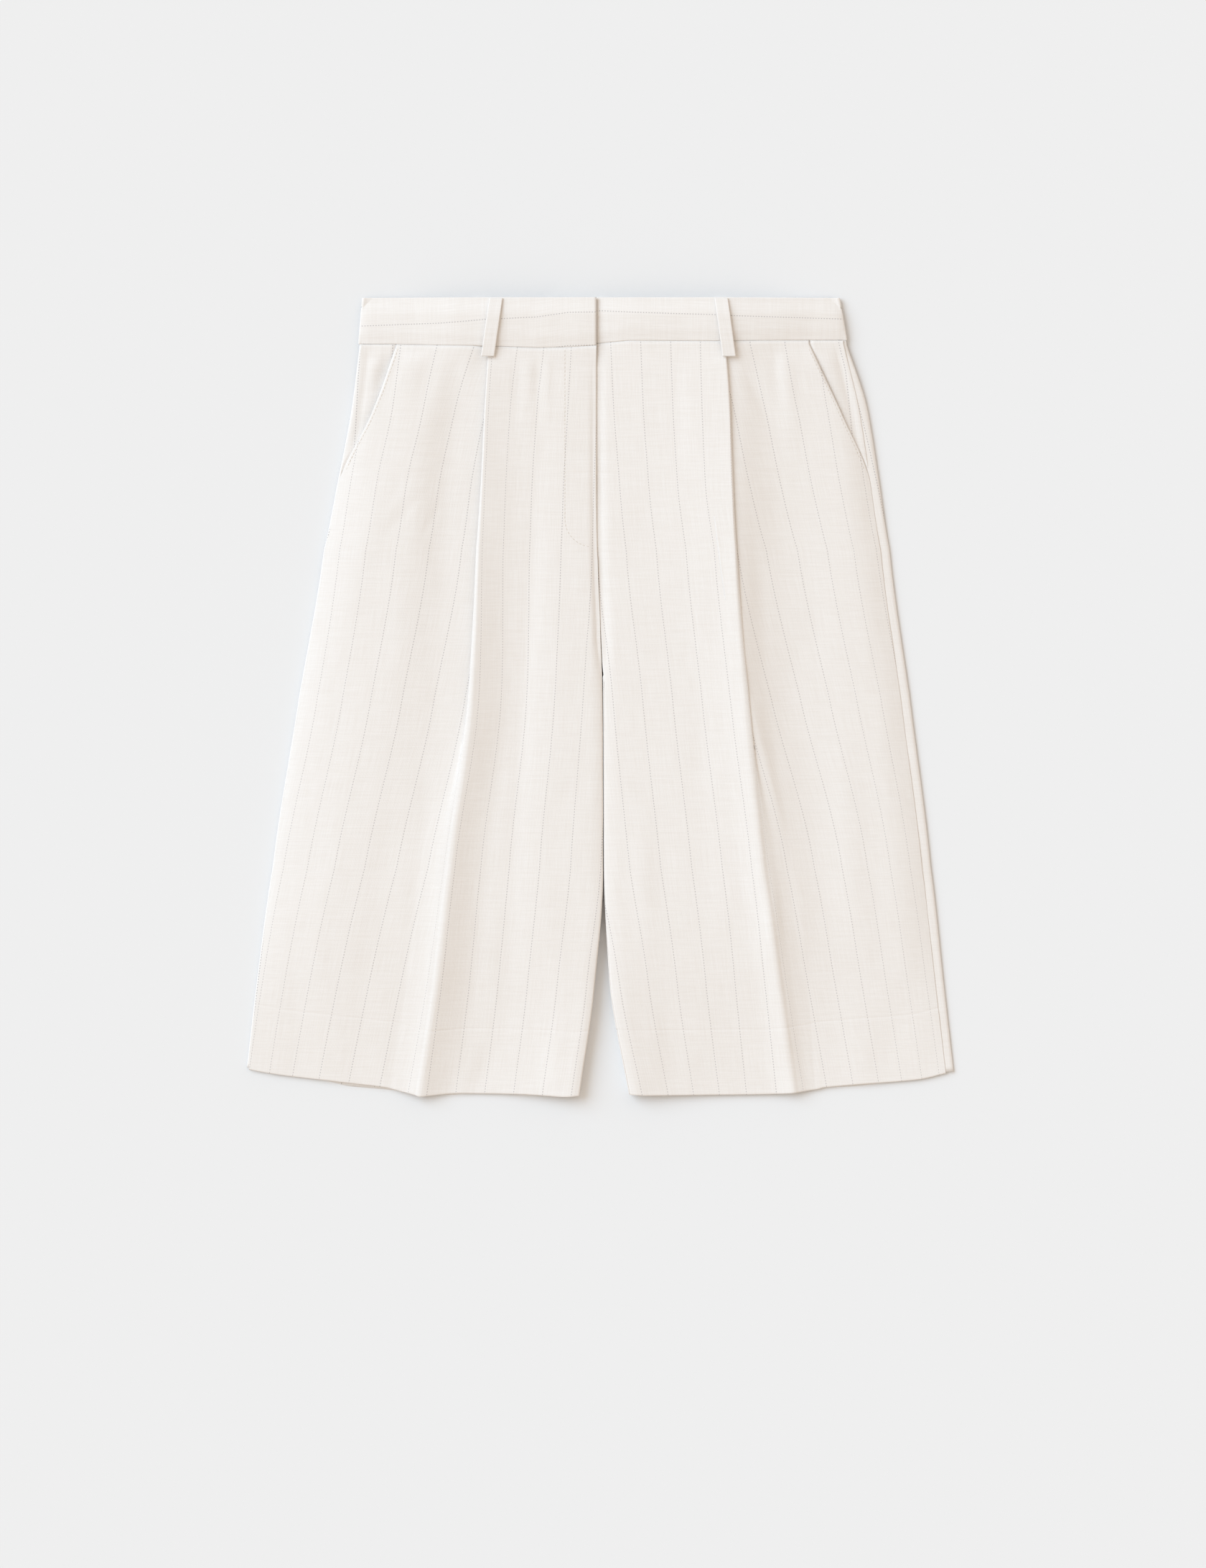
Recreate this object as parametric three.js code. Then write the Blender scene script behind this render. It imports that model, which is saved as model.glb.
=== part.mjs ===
// Pleated bermuda shorts, laid flat with the wearer's front upwards. Millimetres, +Z up, +Y to the waist.
// The wearer's right leg is at -X. The origin is at the centre of the underside.
import * as THREE from "three";

// Driving sizes
const LENGTH = 612;
const WALL = 1.0;
const SEAM_GAP = 0.3;
const BAND_WALL = 2.0;
const HEM_WALL = 1.8;
const HEM_TURN_UP = 50;
const LOOP_WALL = 1.4;
const LOOP_WIDTH = 10.2;
const LOOP_BOW = 1.0;
const BACK_LOOP_ACROSS = 92;
const LOOP_TOP = 0.8;
const LOOP_FOOT = 45.5;
const PLEAT_DEPTH = 26;
const PLEAT_LAYER = 1.9;
const FLY_END = 193;
const FLY_UNDERLAP = 9;
const BAND_UNDERLAP = 34;
const CROTCH = 300;
const BACK_HEM_SHORTER = 1.5;
const POCKET_UNDERLAP = 18;
const SEAM_DEPTH = 36;
const ZIP = { width: 22, from: 40, to: 188, aside: 3 };

// Heights of the middle of each layer that rests on the surface
const REST = WALL / 2;
const BACK_LIFT = LOOP_WALL + SEAM_GAP;
const BACK_BAND = BACK_LIFT + BAND_WALL / 2;
const LAYER_DROP = WALL + SEAM_GAP;
const POCKET_DROP = 1.9;

// Tables have one row for a depth or a place, and one named column for each line of the garment
const chart = (columns, rows) => {
  const names = columns.split(" ");
  return rows.map((row) => Object.fromEntries(names.map((name, i) => [name, row[i]])));
};

// Each leg's outline. Depth is measured down from the top edge of the waistband, places across from the middle
// outwards. The strip is what shows of the back outside the side seam. The pocket column is its slanting edge.
const OUTLINE = "depth seam strip crease inner pocket";
// Heights of the middle of the front's wall, and depths of the hem, at points named from the side seam to the
// inner edge
const HEIGHTS = "depth seam brow slope valley edge foot mid lap inner";
const HEM = "seam brow slope valley edge foot mid lap inner";
const LEGS = {
  right: {
    sign: -1,
    outline: chart(OUTLINE, [
      [35, 182.6, 0.9, 84.5, 2.8, 155.5],
      [85, 189.0, 0.9, 87.5, 2.8, 173.5],
      [140, 199.4, 0.9, 89.7, 2.8, 199.4],
      [193, 210.2, 0.9, 92.6, 2.0, 210.2],
      [305, 229.1, 0.9, 97.4, -2.0, 229.1],
      [437, 249.5, 0.9, 113.9, -2.4, 249.5],
      [525, 261.6, 0.9, 124.3, 3.9, 261.6],
      [612, 271.6, 0.9, 137.5, 16.0, 271.6],
    ]),
    heights: chart(HEIGHTS, [
      [35, 5.7, 9.4, 9.8, 9.6, 13.4, 13.2, 12.8, 12.4, 12.2],
      [85, 7.0, 12.4, 11.8, 10.0, 15.2, 13.4, 13.6, 13.2, 12.4],
      [173, 8.2, 14.0, 12.8, 10.6, 16.4, 13.4, 14.2, 13.6, 12.4],
      [305, 8.6, 14.8, 13.8, 12.2, 18.0, 13.0, 14.4, 13.6, 11.2],
      [437, 8.2, 14.2, 13.6, 12.8, 18.2, 12.6, 13.8, 12.8, 9.6],
      [612, 6.0, 10.2, 10.0, 9.8, 14.4, 9.8, 10.4, 10.2, 7.2],
    ]),
    hem: chart(HEM, [[591, 595, 600.5, 605, 611.8, 609.4, 610, 612, 611.2]])[0],
    loopAcross: { top: 79.6, foot: 86.0 },
  },
  left: {
    sign: 1,
    outline: chart(OUTLINE, [
      [35, 186.0, 2.0, 95.2, -2.4, 160.0],
      [85, 198.0, 6.2, 98.5, -2.4, 183.5],
      [140, 206.5, 6.6, 100.2, -2.4, 206.5],
      [193, 214.6, 6.6, 102.6, -1.6, 214.6],
      [305, 229.9, 6.6, 110.0, 2.6, 229.9],
      [437, 246.4, 6.4, 123.2, 3.2, 246.4],
      [525, 256.6, 6.0, 135.9, 7.7, 256.6],
      [612, 267.0, 5.4, 148.0, 22.6, 267.0],
    ]),
    heights: chart(HEIGHTS, [
      [35, 5.7, 9.4, 9.8, 9.6, 13.4, 12.8, 11.8, 11.2, 10.7],
      [85, 6.8, 11.4, 12.0, 9.8, 16.6, 14.4, 12.4, 12.0, 10.9],
      [173, 7.2, 12.2, 13.2, 9.8, 18.6, 15.4, 12.8, 12.4, 10.9],
      [305, 7.6, 13.0, 14.4, 10.4, 18.6, 15.0, 13.0, 13.0, 11.2],
      [437, 7.4, 12.6, 13.8, 11.4, 17.2, 13.6, 12.8, 12.8, 9.6],
      [612, 5.6, 9.2, 10.0, 9.2, 13.4, 10.6, 10.4, 10.4, 7.2],
    ]),
    hem: chart(HEM, [[592, 600, 603, 605, 609.2, 610, 610.6, 611, 610.2]])[0],
    loopAcross: { top: 92.6, foot: 98.7 },
  },
};

// How far each pleat is folded shut, from 1 at the waistband to 0 where it is only a standing ridge
const PLEAT = chart("depth closed", [[35, 1], [85, 0.88], [173, 0.7], [305, 0.35], [437, 0], [612, 0]]);

// The open ridge's outer face: distances out from its edge, and shares of its rise and of its hem's slant
const RIDGE = {
  low: 20,
  middle: 12,
  high: 5,
  lowRise: 0.6,
  middleShare: 0.36,
  highShare: 0.74,
  hemShares: [0.25, 0.55, 0.81],
};

// Places of the section's points between the seam and the crease, and between the foot and the inner edge
const CHEEK_IN = 4.5;
const CHEEK_RISE = 0.32;
const BROW_SHARE = 0.17;
const SLOPE_SHARE = 0.52;
const VALLEY_SHARE = 0.8;
const MID_SHARE = 0.5;
const LAP_SHARE = 0.88;
const FOOT_REACH = 20;
const FOOT_CLEARANCE = 7;
const SEAM_SAG = 0.6;
// The last bend before the inner edge: its distance in, and its height, with the legs joined and parted
const TURN = { joined: 2.6, parted: 0.6, lift: 0.1, partedShare: 0.4 };
const PARTED_GAP = { width: 0.5, from: CROTCH - 60, to: CROTCH - 32 };
const STATION = { seam: 0, valley: 4, turn: 12, inner: 13 };

// The waistbands: places across, heights and the depth of the lower edge, from the centre front to the side. Each
// then turns round the side, and its back half lies flat to the centre back.
const BAND = "across height foot";
const BANDS = {
  right: {
    sign: -1,
    side: { top: 181.4, foot: 184.4 },
    front: chart(BAND, [
      [2.8, 14.0, 37.0],
      [22, 14.0, 38.2],
      [46, 13.9, 38.9],
      [78, 13.8, 37.8],
      [96, 12.8, 37.2],
      [126, 11.4, 36.6],
      [156, 10.8, 35.8],
    ]),
    backInner: 2.8,
  },
  left: {
    sign: 1,
    side: { top: 182.6, foot: 188.4 },
    front: chart(BAND, [
      [-2.8 - BAND_UNDERLAP, 9.2, 35.4],
      [-12, 9.3, 35.5],
      [-1, 11.4, 35.4],
      [22, 13.0, 33.3],
      [88, 13.6, 33.6],
      [108, 12.6, 33.4],
      [134, 11.2, 33.0],
      [160, 10.8, 32.8],
    ]),
    backInner: -2.4,
  },
};
// Places round the side, measured inwards from its outermost point
const BAND_SIDE = chart("inwards height", [[9, 9.9], [2.6, 8.4], [0, 6.1], [2.4, 3.7], [8, BACK_BAND]]);
LEGS.right.band = BANDS.right;
LEGS.left.band = BANDS.left;
const BAND_BACK_SHARES = [0.15, 0.36, 0.57, 0.78, 1];
const BAND_ROWS = [0, 0.33, 0.66, 1];

const CLOTH = { color: 0xf1ece6, roughness: 0.92, metalness: 0 };
const METAL = { color: 0xb9bcc0, roughness: 0.35, metalness: 1 };

const clamp01 = (value) => Math.min(1, Math.max(0, value));
const mix = (from, to, share) => from + (to - from) * share;
const ease = (share) => share * share * (3 - 2 * share);
const ramp = (value, from, to) => ease(clamp01((value - from) / (to - from)));

// A smooth curve through the values at 0, 1, 2 and so on, which never swings past them
function throughValues(values, position) {
  const last = values.length - 1;
  const at = Math.min(last, Math.max(0, position));
  const i = Math.min(last - 1, Math.floor(at));
  const share = at - i;
  const rise = (k) => values[k + 1] - values[k];
  const tangent = (k) => {
    if (k === 0) return rise(0);
    if (k === last) return rise(last - 1);
    const before = rise(k - 1);
    const after = rise(k);
    return before * after <= 0 ? 0 : (2 * before * after) / (before + after);
  };
  const lead = share * (1 - share) * (1 - share);
  const tail = share * share * (1 - share);
  return mix(values[i], values[i + 1], ease(share)) + tangent(i) * lead - tangent(i + 1) * tail;
}

// Reads one column of a table at any depth, on the same kind of curve
function readColumn(table, name, depth) {
  const last = table.length - 1;
  const d = Math.min(table[last].depth, Math.max(table[0].depth, depth));
  let i = 0;
  while (i < last - 1 && table[i + 1].depth < d) i += 1;
  const share = (d - table[i].depth) / (table[i + 1].depth - table[i].depth);
  return throughValues(table.map((row) => row[name]), i + share);
}

// From 0 above the crotch, where the two fronts join, to 1 below it, where each leg closes on itself
const legsParted = (depth) => ramp(depth, CROTCH - 45, CROTCH + 8);

// A leg's inner edge. The wall turns on edge below the crotch, so it keeps further from the other leg.
function innerEdge(leg, depth) {
  const gap = PARTED_GAP.width * ramp(depth, PARTED_GAP.from, PARTED_GAP.to);
  return readColumn(leg.outline, "inner", depth) + gap;
}

// The front's named points from the side seam to the inner edge, as lists of places across and of heights
function frontStations(leg, depth) {
  const z = (name) => readColumn(leg.heights, name, depth);
  const closed = readColumn(PLEAT, "closed", depth);
  const seam = readColumn(leg.outline, "seam", depth);
  const crease = readColumn(leg.outline, "crease", depth);
  const inner = innerEdge(leg, depth);
  const parted = legsParted(depth);
  const tuck = closed * PLEAT_DEPTH;
  const low = z("valley");
  const rise = z("edge") - low;
  const foot = crease - Math.max(FOOT_REACH, tuck + FOOT_CLEARANCE);
  const opened = 1 - closed;
  const middleRise = mix(RIDGE.middleShare * rise, PLEAT_LAYER, closed);
  const highRise = mix(RIDGE.highShare * rise, PLEAT_LAYER, closed);
  const turnRise = mix(TURN.lift, TURN.partedShare * (z("lap") - z("inner")), parted);
  const points = [
    [seam, z("seam")],
    [seam - CHEEK_IN, mix(z("seam"), z("brow"), CHEEK_RISE)],
    [mix(seam, crease, BROW_SHARE), z("brow")],
    [mix(seam, crease, SLOPE_SHARE), z("slope")],
    [mix(seam, crease, VALLEY_SHARE), low],
    [crease - tuck + opened * RIDGE.low, low + opened * RIDGE.lowRise],
    [crease - tuck + opened * RIDGE.middle, low + middleRise],
    [crease + opened * RIDGE.high, low + highRise],
    [crease, low + rise],
    [foot, z("foot")],
    [mix(foot, inner, MID_SHARE), z("mid")],
    [mix(foot, inner, LAP_SHARE), z("lap")],
    [inner + mix(TURN.joined, TURN.parted, parted), z("inner") + turnRise],
    [inner, z("inner")],
  ];
  return { across: points.map((point) => point[0]), heights: points.map((point) => point[1]) };
}

// The depths of the hem and of the band's seam at any station
function hemDepth(leg, station) {
  const { seam, brow, slope, valley, edge, foot, mid, lap, inner } = leg.hem;
  const outer = [seam, seam + SEAM_SAG, brow, slope, valley];
  const ridge = [...RIDGE.hemShares.map((share) => mix(valley, edge, share)), edge];
  return throughValues([...outer, ...ridge, foot, mid, lap, inner, inner], station);
}

// Reads a column of a waistband's front along straight lines between its rows
function readBand(band, name, across) {
  const { front } = band;
  let i = 0;
  while (i < front.length - 2 && front[i + 1].across < across) i += 1;
  const share = (across - front[i].across) / (front[i + 1].across - front[i].across);
  return mix(front[i][name], front[i + 1][name], clamp01(share));
}

function bandSeamDepth(leg, station) {
  const across = throughValues(frontStations(leg, SEAM_DEPTH).across, station);
  return readBand(leg.band, "foot", across) + SEAM_GAP;
}

// Turns a place across, a depth and a height into the garment's own frame
const place = (leg, across, depth, height) => new THREE.Vector3(leg.sign * across, LENGTH / 2 - depth, height);

// The middle of the front's wall, at a station and at a share of the way from the band seam to the hem
function frontPoint(leg, station, share) {
  const depth = mix(bandSeamDepth(leg, station), hemDepth(leg, station), share);
  const { across, heights } = frontStations(leg, depth);
  return place(leg, throughValues(across, station), depth, throughValues(heights, station));
}

// The station at which the front's section reaches a place across, between its seam and its valley
function stationAt(leg, across, depth) {
  const stations = frontStations(leg, depth).across;
  let low = STATION.seam;
  let high = STATION.valley;
  for (let i = 0; i < 30; i += 1) {
    const middle = (low + high) / 2;
    if (throughValues(stations, middle) > across) low = middle;
    else high = middle;
  }
  return (low + high) / 2;
}

// A closed wall over a grid of middle points. It reaches half a cloth outwards and the rest of its wall inwards.
function wallFromGrid(grid, { flip = false, inwardOf = () => WALL / 2, outward = WALL / 2 } = {}) {
  const rows = grid.length;
  const columns = grid[0].length;
  const positions = [];
  const moved = (r, c, distance) => {
    const along = grid[r][Math.min(columns - 1, c + 1)].clone().sub(grid[r][Math.max(0, c - 1)]);
    const down = grid[Math.min(rows - 1, r + 1)][c].clone().sub(grid[Math.max(0, r - 1)][c]);
    const normal = along.cross(down).normalize().multiplyScalar(flip ? -1 : 1);
    return grid[r][c].clone().addScaledVector(normal, distance);
  };
  for (const outside of [true, false]) {
    for (let r = 0; r < rows; r += 1) {
      for (let c = 0; c < columns; c += 1) {
        positions.push(...moved(r, c, outside ? outward : -inwardOf(r)));
      }
    }
  }
  const outer = (r, c) => r * columns + c;
  const inner = (r, c) => rows * columns + outer(r, c);
  const indices = [];
  const quad = (a, b, c, d) => indices.push(...(flip ? [a, c, b, a, d, c] : [a, b, c, a, c, d]));
  for (let r = 0; r < rows - 1; r += 1) {
    for (let c = 0; c < columns - 1; c += 1) {
      quad(outer(r, c), outer(r, c + 1), outer(r + 1, c + 1), outer(r + 1, c));
      quad(inner(r, c), inner(r + 1, c), inner(r + 1, c + 1), inner(r, c + 1));
    }
    quad(outer(r, 0), outer(r + 1, 0), inner(r + 1, 0), inner(r, 0));
    quad(outer(r, columns - 1), inner(r, columns - 1), inner(r + 1, columns - 1), outer(r + 1, columns - 1));
  }
  for (let c = 0; c < columns - 1; c += 1) {
    quad(outer(0, c), inner(0, c), inner(0, c + 1), outer(0, c + 1));
    quad(outer(rows - 1, c), outer(rows - 1, c + 1), inner(rows - 1, c + 1), inner(rows - 1, c));
  }
  const geometry = new THREE.BufferGeometry();
  geometry.setAttribute("position", new THREE.Float32BufferAttribute(positions, 3));
  geometry.setIndex(indices);
  geometry.computeVertexNormals();
  return geometry;
}

// Rows down the leg as shares of the way from the band seam to the hem, with a pair at the end of the fly and
// a pair at the turn-up's inner edge
const BAND_FOOT = 37;
const CLOTH_DROP = LENGTH - BAND_FOOT;
const FLY_SHARE = (FLY_END - BAND_FOOT) / CLOTH_DROP;
const TURN_UP_SHARE = 1 - HEM_TURN_UP / CLOTH_DROP;
const TURN_UP_STEP = 0.003;
const LEG_ROWS = [
  0, 0.03, 0.07, 0.11, 0.148, 0.182, 0.222, FLY_SHARE, FLY_SHARE + 0.014, 0.34, 0.4, 0.44, 0.475, 0.54, 0.62,
  0.7, 0.78, 0.85, TURN_UP_SHARE, TURN_UP_SHARE + TURN_UP_STEP, 0.96, 1,
];
const hemInward = (r) => (LEG_ROWS[r] > TURN_UP_SHARE + TURN_UP_STEP / 2 ? HEM_WALL - WALL / 2 : WALL / 2);

const OUTER_SHARES = [0, 0.06, 0.13, 0.22, 0.32, 0.42, 0.52, 0.64, 0.76, 0.88, 1];
const PLEAT_STATIONS = [4.5, 4.85, 5, 5.5, 6, 6.15, 6.5, 6.85, 7, 7.5, 8, 8.15, 8.5, 9];
const FLY_STATIONS = [9.5, 10, 10.5, 11, 11.4, 11.75];

// One front. It starts at the pocket's slanting edge and, below the pocket, at the side seam. The left front
// runs on under the right front's lap, down to the end of the fly.
function frontPanel(leg) {
  const grid = LEG_ROWS.map((share) => {
    const sideDepth = mix(bandSeamDepth(leg, 0), hemDepth(leg, 0), share);
    const slant = readColumn(leg.outline, "pocket", sideDepth);
    const edge = Math.min(slant, readColumn(leg.outline, "seam", sideDepth)) - SEAM_GAP / 2;
    const start = stationAt(leg, edge, sideDepth);
    const outer = OUTER_SHARES.map((part) => mix(start, STATION.valley, part));
    const stations = [...outer, ...PLEAT_STATIONS, ...FLY_STATIONS];
    const row = stations.map((station) => frontPoint(leg, station, share));
    const end = frontPoint(leg, STATION.inner, share);
    const isLapped = leg.sign > 0 && share <= FLY_SHARE;
    if (isLapped) row.push(end, end.clone().setX(end.x - FLY_UNDERLAP));
    else row.push(frontPoint(leg, STATION.turn, share), end);
    return row;
  });
  return wallFromGrid(grid, { flip: leg.sign < 0, inwardOf: hemInward });
}

// One back: from the side seam round the side, flat on the surface, to the centre seam. Below the crotch it
// turns up at the inner edge to the inseam. Its top is lifted to lie level with the waistband.
const BACK_FLAT_SHARES = [0, 0.12, 0.3, 0.5, 0.7, 0.88, 1];
const LIFT_FADE = { from: 52, to: 88 };
// The turn round the side: shares of the strip and of its height, and distances in from the outermost point
const SIDE_TURN = {
  shoulder: 0.72,
  shoulderFall: 0.2,
  outerFall: 0.5,
  tuckIn: 0.9,
  tuckRise: 0.22,
  restIn: 3,
  restRise: 0.25,
  flatIn: 7,
};
// The turn up to the inseam: distances in from the inner edge, with the legs joined and with them parted
const INSEAM_DROP = 0.8;
const INSEAM_TURN = { flat: [4.5, 7], rest: [3, 3.2], bend: [1.4, 0.4], restRise: 0.2, bendRise: 0.3 };
function backPanel(leg) {
  const grid = LEG_ROWS.map((share, r) => {
    const turnedUp = hemInward(r) - WALL / 2;
    const depthAt = (station, shorter) => (
      mix(bandSeamDepth(leg, station), hemDepth(leg, station) - shorter, share)
    );
    const seamDepth = depthAt(STATION.seam, 0);
    const innerDepth = depthAt(STATION.inner, 0);
    const seam = readColumn(leg.outline, "seam", seamDepth);
    const side = seam + readColumn(leg.outline, "strip", seamDepth);
    const seamHeight = readColumn(leg.heights, "seam", seamDepth);
    const inner = innerEdge(leg, innerDepth);
    const parted = legsParted(innerDepth);
    const inseamHeight = readColumn(leg.heights, "inner", innerDepth) - INSEAM_DROP - turnedUp;
    const innerHeight = mix(REST, inseamHeight, parted);
    const lift = BACK_LIFT * (1 - ramp(seamDepth, LIFT_FADE.from, LIFT_FADE.to));
    const sidePoints = [
      [seam + SEAM_GAP / 2, seamHeight - SEAM_GAP - turnedUp],
      [mix(seam, side, SIDE_TURN.shoulder), mix(seamHeight, lift, SIDE_TURN.shoulderFall)],
      [side, mix(seamHeight, lift, SIDE_TURN.outerFall)],
      [side - SIDE_TURN.tuckIn, lift + mix(REST, seamHeight - lift, SIDE_TURN.tuckRise)],
      [side - SIDE_TURN.restIn, lift + REST + SIDE_TURN.restRise],
    ];
    const flatFrom = side - SIDE_TURN.flatIn;
    const fromInner = ([joined, apart]) => inner + mix(joined, apart, parted);
    const flatTo = fromInner(INSEAM_TURN.flat);
    const flat = BACK_FLAT_SHARES.map((part) => [mix(flatFrom, flatTo, part), lift + REST]);
    const bendHeight = mix(REST, mix(REST, innerHeight, INSEAM_TURN.bendRise), parted);
    const innerPoints = [
      [fromInner(INSEAM_TURN.rest), lift + REST + INSEAM_TURN.restRise * parted],
      [fromInner(INSEAM_TURN.bend), lift + bendHeight],
      [inner, lift + innerHeight],
    ];
    const points = [...sidePoints, ...flat, ...innerPoints];
    return points.map(([across, height]) => {
      const station = mix(STATION.seam, STATION.inner, clamp01((side - across) / (side - inner)));
      const depth = depthAt(station, BACK_HEM_SHORTER * share);
      return place(leg, across, depth, height);
    });
  });
  return wallFromGrid(grid, { flip: leg.sign > 0, inwardOf: hemInward });
}

// A pocket's side piece fills the corner outside the slanting edge. It runs on under the front, one layer down.
const POCKET_ROWS = LEG_ROWS.slice(0, 7);
const POCKET_COLUMNS = [0, 0.08, 0.17, 0.27, 0.38, 0.5, 0.64, 0.82, 1];
const POCKET_SINK = { within: 7, from: 98, to: 116 };
function pocketSide(leg) {
  const top = bandSeamDepth(leg, STATION.seam);
  const foot = hemDepth(leg, STATION.seam);
  const grid = POCKET_ROWS.map((part) => {
    const depth = mix(top, foot, part);
    const seam = readColumn(leg.outline, "seam", depth) - SEAM_GAP / 2;
    const slant = readColumn(leg.outline, "pocket", depth);
    const start = stationAt(leg, seam, depth);
    const end = stationAt(leg, slant - POCKET_UNDERLAP, depth);
    return POCKET_COLUMNS.map((share) => {
      const station = mix(start, end, share);
      const point = frontPoint(leg, station, part);
      const inward = ramp(seam - leg.sign * point.x, 0, POCKET_SINK.within);
      const downward = ramp(depth, POCKET_SINK.from, POCKET_SINK.to);
      return { point, drop: POCKET_DROP * Math.max(inward, downward) };
    });
  });
  return wallFromGrid(sinkGrid(grid, leg.sign < 0));
}

// Moves each point of a grid inwards, square to the surface, by its own drop
function sinkGrid(grid, flip) {
  const rows = grid.length;
  const columns = grid[0].length;
  return grid.map((row, r) => row.map(({ point, drop }, c) => {
    const along = row[Math.min(columns - 1, c + 1)].point.clone().sub(row[Math.max(0, c - 1)].point);
    const down = grid[Math.min(rows - 1, r + 1)][c].point.clone().sub(grid[Math.max(0, r - 1)][c].point);
    const normal = along.cross(down).normalize().multiplyScalar(flip ? -1 : 1);
    return point.clone().addScaledVector(normal, -drop);
  }));
}

// One half of the waistband, from the centre front round the side to the centre back
function bandStations(band, part) {
  const side = mix(band.side.top, band.side.foot, part);
  const round = BAND_SIDE.map(({ inwards, height }) => ({ across: side - inwards, height }));
  const backFrom = side - BAND_SIDE[BAND_SIDE.length - 1].inwards;
  const back = BAND_BACK_SHARES.map((share) => mix(backFrom, band.backInner, share));
  return [...band.front, ...round, ...back.map((across) => ({ across, height: BACK_BAND }))];
}

function waistband(band) {
  const side = band.side.foot;
  const grid = BAND_ROWS.map((part) => bandStations(band, part).map(({ across, height }) => {
    const isFront = height > BACK_BAND + BAND_WALL / 2;
    return place(band, across, part * readBand(band, "foot", isFront ? across : side), height);
  }));
  return wallFromGrid(grid, { flip: band.sign > 0, inwardOf: () => BAND_WALL / 2, outward: BAND_WALL / 2 });
}

// A belt loop in front: a folded strip over the band, its ends on the cloth and its middle bowed clear of it
const LOOP_ROWS = [0, 0.05, 0.14, 0.3, 0.5, 0.7, 0.84, 0.93, 1];
const LOOP_STEP = { from: 34, to: 42 };
const LOOP_ARCH = { end: 0.04, fullness: 0.6 };
function frontLoop(leg) {
  const grid = LOOP_ROWS.map((part) => {
    const depth = mix(LOOP_TOP, LOOP_FOOT, part);
    const middle = mix(leg.loopAcross.top, leg.loopAcross.foot, part);
    const onPanel = ramp(depth, LOOP_STEP.from, LOOP_STEP.to);
    const along = clamp01((part - LOOP_ARCH.end) / (1 - 2 * LOOP_ARCH.end));
    const bow = LOOP_BOW * Math.max(0, Math.sin(Math.PI * along)) ** LOOP_ARCH.fullness;
    const edges = [middle - LOOP_WIDTH / 2, middle + LOOP_WIDTH / 2];
    const base = Math.max(...edges.map((across) => readBand(leg.band, "height", across)));
    const ridge = readColumn(leg.heights, "edge", depth) + WALL / 2;
    const seat = mix(base + BAND_WALL / 2, Math.max(base + BAND_WALL / 2, ridge), onPanel);
    const height = seat + SEAM_GAP + LOOP_WALL / 2 + bow;
    return [-0.5, -0.25, 0.25, 0.5].map((side) => place(leg, middle + side * LOOP_WIDTH, depth, height));
  });
  return wallFromGrid(grid, { flip: leg.sign > 0, inwardOf: () => LOOP_WALL / 2, outward: LOOP_WALL / 2 });
}

// A belt loop at the back lies under the band, flat on the surface
function backLoop(across) {
  const length = LOOP_FOOT - LOOP_TOP;
  const geometry = new THREE.BoxGeometry(LOOP_WIDTH, length, LOOP_WALL);
  geometry.translate(across, LENGTH / 2 - LOOP_TOP - length / 2, LOOP_WALL / 2);
  return geometry;
}

// The fly's zip, closed: a plain tape under the left front's edge
function flyZip() {
  const left = LEGS.left;
  const grid = [0, 0.25, 0.5, 0.75, 1].map((part) => {
    const depth = mix(ZIP.from, ZIP.to, part);
    const middle = innerEdge(left, depth) - FLY_UNDERLAP;
    const height = readColumn(left.heights, "inner", depth) - LAYER_DROP;
    return [-0.5, 0, 0.5].map((side) => place(left, middle + side * ZIP.width - ZIP.aside, depth, height));
  });
  return wallFromGrid(grid, { flip: true });
}

// The hook is bent from a strip of metal and sits under the lap. Its tongue passes below the bar.
const HOOK = { wall: 0.5, width: 8, length: 11, tongue: 6, opening: 1.0, depth: 18 };
const LAP_UNDERSIDE = BANDS.right.front[0].height - BAND_WALL / 2;
const HOOK_TOP = LAP_UNDERSIDE - SEAM_GAP;
const HOOK_NOSE = -14;
const BAR_ACROSS = HOOK_NOSE - 4;
function waistHook() {
  const low = -2 * HOOK.wall - HOOK.opening;
  const outline = [
    [0, 0], [-HOOK.length, 0], [-HOOK.length, -HOOK.wall], [-HOOK.wall, -HOOK.wall],
    [-HOOK.wall, low + HOOK.wall], [-HOOK.tongue, low + HOOK.wall], [-HOOK.tongue, low], [0, low],
  ];
  const profile = new THREE.Shape(outline.map(([x, y]) => new THREE.Vector2(x, y)));
  const geometry = new THREE.ExtrudeGeometry(profile, { depth: HOOK.width, bevelEnabled: false });
  geometry.rotateX(Math.PI / 2);
  geometry.translate(HOOK_NOSE, LENGTH / 2 - HOOK.depth + HOOK.width / 2, HOOK_TOP);
  return geometry;
}

// The bar is a low staple on the underlap that the hook's tongue slides under
const BAR = { wall: 0.4, width: 2, span: 12, leg: 1.2 };
function waistBar() {
  const top = HOOK_TOP - HOOK.wall - SEAM_GAP;
  const foot = readBand(BANDS.left, "height", BAR_ACROSS) + BAND_WALL / 2 + SEAM_GAP;
  const half = BAR.span / 2;
  const inside = half - BAR.leg;
  const outline = [
    [-half, foot], [-inside, foot], [-inside, top - BAR.wall], [inside, top - BAR.wall],
    [inside, foot], [half, foot], [half, top], [-half, top],
  ];
  const profile = new THREE.Shape(outline.map(([x, y]) => new THREE.Vector2(x, y)));
  const geometry = new THREE.ExtrudeGeometry(profile, { depth: BAR.width, bevelEnabled: false });
  geometry.rotateX(Math.PI / 2);
  geometry.rotateZ(Math.PI / 2);
  geometry.translate(BAR_ACROSS, LENGTH / 2 - HOOK.depth, 0);
  return geometry;
}

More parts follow.
